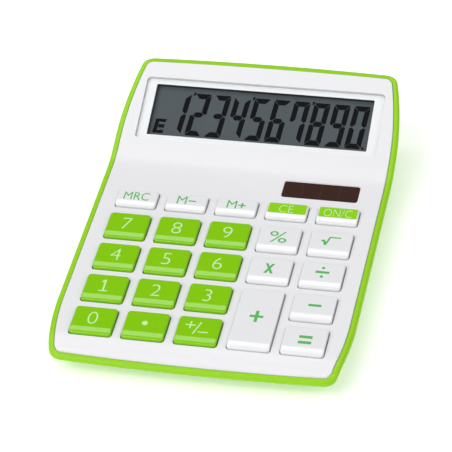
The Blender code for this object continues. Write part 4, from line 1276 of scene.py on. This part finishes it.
def make_display():
    lens = draw(
        "window_lens", plate, DISPLAY, LENS, lens_edges, LENS_TOP - LENS_THICK, LENS_TOP
    )
    place_piece(polish(lens), "clear_lens", "display_lens")
    border = draw("window_print", draw_lens_print, DISPLAY, LENS_PRINT)
    place_piece(border, "clear_lens")
    # black mask whose inner edges are painted shade at the window's top and left
    mask_and_shade = draw("window_mask_and_shade", draw_lens_mask_and_shade, DISPLAY, BLACK)
    place_piece(mask_and_shade, "black_plastic")
    glass = draw("lcd_panel", draw_front_glass, DISPLAY, LCD_GREY)
    place_piece(glass, "lcd_glass", "lcd_front_glass")
    dot = disc(*POINT_PLACE, POINT_RADIUS)
    segments = {"lcd_digits": digit_polygons() + [dot], "lcd_error_sign": error_polygons()}
    top = GLASS_TOP + SEGMENT_RAISE
    for name, polygons in segments.items():
        made = draw(name, ink_mesh, DISPLAY, LCD_BLACK, polygons, GLASS_TOP, top)
        place_piece(made, "lcd_glass")


# ---- solar cell

def make_solar():
    window = draw(
        "solar_strip", plate, KEYPAD, SOLAR, solar_edges, SOLAR_TOP - SOLAR_THICK, SOLAR_TOP
    )
    place_piece(polish(window), "solar_glass", "solar_window")
    x, s = SOLAR_CENTRE
    wide, tall = SOLAR_SIZE
    lines = [bar(x + share * wide, s, SCRIBE_WIDE, tall - 0.8 * MM) for share in (-0.25, 0, 0.25)]
    low, high = SOLAR_TOP - 0.02 * MM, SOLAR_TOP + 0.008 * MM
    scribes = draw("solar_scribes", ink_mesh, KEYPAD, SOLAR_LINE, lines, low, high)
    place_piece(scribes, "solar_glass")


# ---- underside

def draw_door(bm):
    ease = 0.2 * MM

    def ring(inset, y):
        low, ledge, high = DOOR_FACE + inset, DOOR_FLANGE_LOW + inset, DOOR_TOP - inset
        half, flange = DOOR_HALF - inset, DOOR_FLANGE_HALF - inset
        profile = [
            (-DOOR_HALF + ease + inset, low), (DOOR_HALF - ease - inset, low),
            (half, low + ease), (half, ledge), (flange, ledge), (flange, high),
            (-flange, high), (-flange, ledge), (-half, ledge), (-half, low + ease),
        ]
        return [Vector((CELL_X + x, y, z)) for x, z in profile]

    front, back = DOOR_FRONT_Y, DOOR_BACK_Y
    ends = ((ease, front), (0.0, front + ease), (0.0, back - ease), (ease, back))
    add_loft(bm, [ring(inset, y) for inset, y in ends])


def draw_door_grip(bm):
    """Finger grip: a shallow dish whose floor is then ribbed."""
    rings = []
    for grow, z in ((0.6, -0.4), (0.0, 0.0), (-0.5, 0.35)):
        half = (4.6 + grow) * MM
        front, back = CELL_Y - (5.6 + grow) * MM, CELL_Y + (1.6 + grow) * MM
        points = rounded(CELL_X - half, CELL_X + half, front, back, (1.6 + grow) * MM)
        rings.append(at(points, DOOR_FACE + z * MM))
    add_loft(bm, rings)


def draw_door_ribs(bm):
    low = CASE_BOTTOM + 0.12 * MM
    profile = [(-0.42, 0.42), (-0.30, 0.12), (-0.12, 0.0), (0.12, 0.0), (0.30, 0.12), (0.42, 0.42)]
    for i in range(4):
        y = CELL_Y + (-4.4 + 1.6 * i) * MM
        add_loft(bm, [
            [Vector((CELL_X + x, y + dy * MM, low + dz * MM)) for dy, dz in profile]
            for x in (-3.6 * MM, 3.6 * MM)
        ])


def draw_door_arrow(bm):
    """Arrow that shows which way the door slides."""
    half, y = 2.6 * MM, CELL_Y + 5.2 * MM
    points = [(CELL_X - half, y), (CELL_X + half, y), (CELL_X, y + 3.4 * MM)]
    add_prism(bm, points, CASE_BOTTOM - 0.3 * MM, CASE_BOTTOM + 0.25 * MM)


def make_door():
    door = draw("door_plate", draw_door, WORLD, GREEN)
    cut(door, (draw_door_grip, WORLD), (draw_door_ribs, WORLD, "UNION"), (draw_door_arrow, WORLD))
    place_piece(polish(door), "green_case", "battery_door", body="battery_door")


def make_screws():
    for side, (x, s) in SCREW_PLACES.items():
        head = floor_n(s) + 0.6 * MM
        levels = [
            (SCREW_HEAD * 0.45, head), (SCREW_HEAD * 0.72, head + 0.08 * MM),
            (SCREW_HEAD * 0.9, head + 0.25 * MM), (SCREW_HEAD, head + 0.55 * MM),
            (SCREW_HEAD, head + 1.15 * MM), (SCREW_SHAFT, head + 1.2 * MM),
            (SCREW_SHAFT, -4.4 * MM), (SCREW_SHAFT * 0.4, -3.9 * MM),
        ]
        screw = draw("screw_" + side, add_turned, KEYPAD, STEEL, (x, s), levels, 28)
        wide, deep = 0.2 * MM, 0.6 * MM
        cross = [
            at(cross_outline(x, s, reach, reach, 2 * half), n)
            for reach, half, n in (
                (1.25 * MM, wide, head - 0.3 * MM), (1.0 * MM, wide * 0.8, head + deep)
            )
        ]
        cut(screw, (lambda bm, cross=cross: add_loft(bm, cross), KEYPAD))
        place_piece(polish(screw), "nickel_steel", "case_screw_" + side)


def make_feet():
    edge = 0.45 * MM
    levels = [(FOOT_RADIUS * 0.55, 0.12 * MM), (FOOT_RADIUS * 0.62, 0.0)]
    levels += [(FOOT_RADIUS - inset, drop) for inset, drop in reversed(edge_steps(edge, 5))]
    levels.append((FOOT_RADIUS, FOOT_HEIGHT))
    for side, place in FOOT_PLACES.items():
        foot = draw("foot_" + side, add_turned, WORLD, FOOT, place, levels, 40)
        place_piece(polish(foot), "foot_rubber", "rubber_foot_" + side)


def draw_plus_sign(bm):
    points = cross_outline(CELL_X, CELL_Y, 1.6 * MM, 1.6 * MM, 0.5 * MM)
    add_prism(bm, points, CELL_BOTTOM - 1 * MM, CELL_BOTTOM + 0.08 * MM)


def make_cell():
    radius, low, top = CELL_RADIUS, CELL_BOTTOM, CELL_BOTTOM + CELL_HEIGHT
    levels = [
        (radius - 0.55 * MM, low), (radius - 0.3 * MM, low + 0.06 * MM),
        (radius - 0.1 * MM, low + 0.2 * MM), (radius, low + 0.45 * MM),
        (radius, top - 0.7 * MM), (radius - 0.15 * MM, top - 0.55 * MM),
        (radius - 0.5 * MM, top - 0.47 * MM), (radius - 0.9 * MM, top - 0.47 * MM),
        (radius - 0.95 * MM, top - 0.2 * MM), (radius - 1.2 * MM, top),
    ]
    cell = draw("button_cell", add_turned, WORLD, STEEL, (CELL_X, CELL_Y), levels, 64)
    cut(cell, (draw_plus_sign, WORLD))
    place_piece(polish(cell), "nickel_steel", "battery_cell")


# ---- nodes that stay as packed

def finish_nodes():
    """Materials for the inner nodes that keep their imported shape."""
    for name, finish in {
        "lcd_rear_glass": GLASS, "lcd_reflector": FOIL, "lcd_frame": BLACK, "lcd_ribbon": FILM,
        "solar_cell": SOLAR, "solar_pad": FOAM, "keypad_board": BOARD,
        "controller_chip": EPOXY, "capacitor": SLEEVE,
        "battery_contact_positive": STEEL, "battery_contact_negative": STEEL,
        "solar_wire_positive": RED_WIRE, "solar_wire_negative": BLACK_WIRE,
        "battery_wire_positive": RED_WIRE, "battery_wire_negative": BLACK_WIRE,
    }.items():
        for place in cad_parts[name].material_slots:
            place.material = finish


# ---- floor, lights and camera

AIM = Vector((-2.2167 * MM, middle_y() + 5.3089 * MM, 12.0 * MM))
CAMERA_AZIMUTH = 15.6313
CAMERA_ELEVATION = 40.4577
CAMERA_ROLL = radians(-5.2002)
CAMERA_DISTANCE = 856.973 * MM
CAMERA_LENS = 190.063
SOFTBOXES = {  # azimuth, elevation, distance, size, radiance
    "back_softbox": (210.0, 64.2, 3.0, (3.0, 0.76), 4.4),
    "left_softbox": (-55.0, 42.0, 2.2, (1.8, 1.6), 2.75),
    "right_softbox": (75.0, 40.0, 2.2, (1.4, 1.6), 2.0),
    "top_softbox": (0.0, 62.0, 2.5, (2.0, 0.8), 2.2),
    "low_softbox": (8.0, 12.0, 2.0, (3.0, 0.4), 1.4),
}
STUDIO_GLOW = 0.18


def make_floor():
    bm = bmesh.new()
    bmesh.ops.create_grid(bm, x_segments=8, y_segments=8, size=3.0)
    make_object("floor", bm, WORLD, FLOOR)


def direction(azimuth, elevation):
    """Unit vector towards an azimuth, 0 at -Y and 90 at +X, and an elevation, in degrees."""
    turn, rise = radians(azimuth), radians(elevation)
    return Vector((sin(turn) * cos(rise), -cos(turn) * cos(rise), sin(rise)))


def add_softbox(name, azimuth, elevation, distance, size, radiance):
    light = bpy.data.lights.new(name, "AREA")
    light.shape = "RECTANGLE"
    light.size, light.size_y = size
    light.energy = radiance * pi * size[0] * size[1]
    holder = add_object(name, light)
    towards = direction(azimuth, elevation)
    holder.location = towards * distance
    holder.rotation_mode = "QUATERNION"
    holder.rotation_quaternion = towards.to_track_quat("Z", "Y")


def make_lights():
    for name, softbox in SOFTBOXES.items():
        add_softbox(name, *softbox)
    world = bpy.data.worlds.new("studio")
    world.use_nodes = True
    background = world.node_tree.nodes["Background"].inputs
    background["Color"].default_value = (1.0, 1.0, 1.0, 1.0)
    background["Strength"].default_value = STUDIO_GLOW
    bpy.context.scene.world = world


def make_camera():
    data = bpy.data.cameras.new("camera")
    data.sensor_width = 36.0
    data.lens = CAMERA_LENS
    data.clip_start = 0.05
    data.clip_end = 20.0
    holder = add_object("camera", data)
    towards = direction(CAMERA_AZIMUTH, CAMERA_ELEVATION)
    holder.rotation_mode = "QUATERNION"
    level = towards.to_track_quat("Z", "Y").to_matrix().to_4x4()
    turned = level @ Matrix.Rotation(CAMERA_ROLL, 4, "Z")
    holder.rotation_quaternion = turned.to_quaternion()
    holder.location = AIM + towards * CAMERA_DISTANCE
    bpy.context.scene.camera = holder
    bpy.context.scene.view_settings.view_transform = "Standard"


make_case()
make_cover()
make_keys()
make_digits()
make_marks(WHITE_MARKS, WHITE_INK)
make_words()
make_memory_signs()
make_marks(GREEN_MARKS, GREEN_INK)
make_key_prints()
make_dome_sheet()
make_display()
make_solar()
make_door()
make_screws()
make_feet()
make_cell()
finish_nodes()
make_floor()
make_lights()
make_camera()
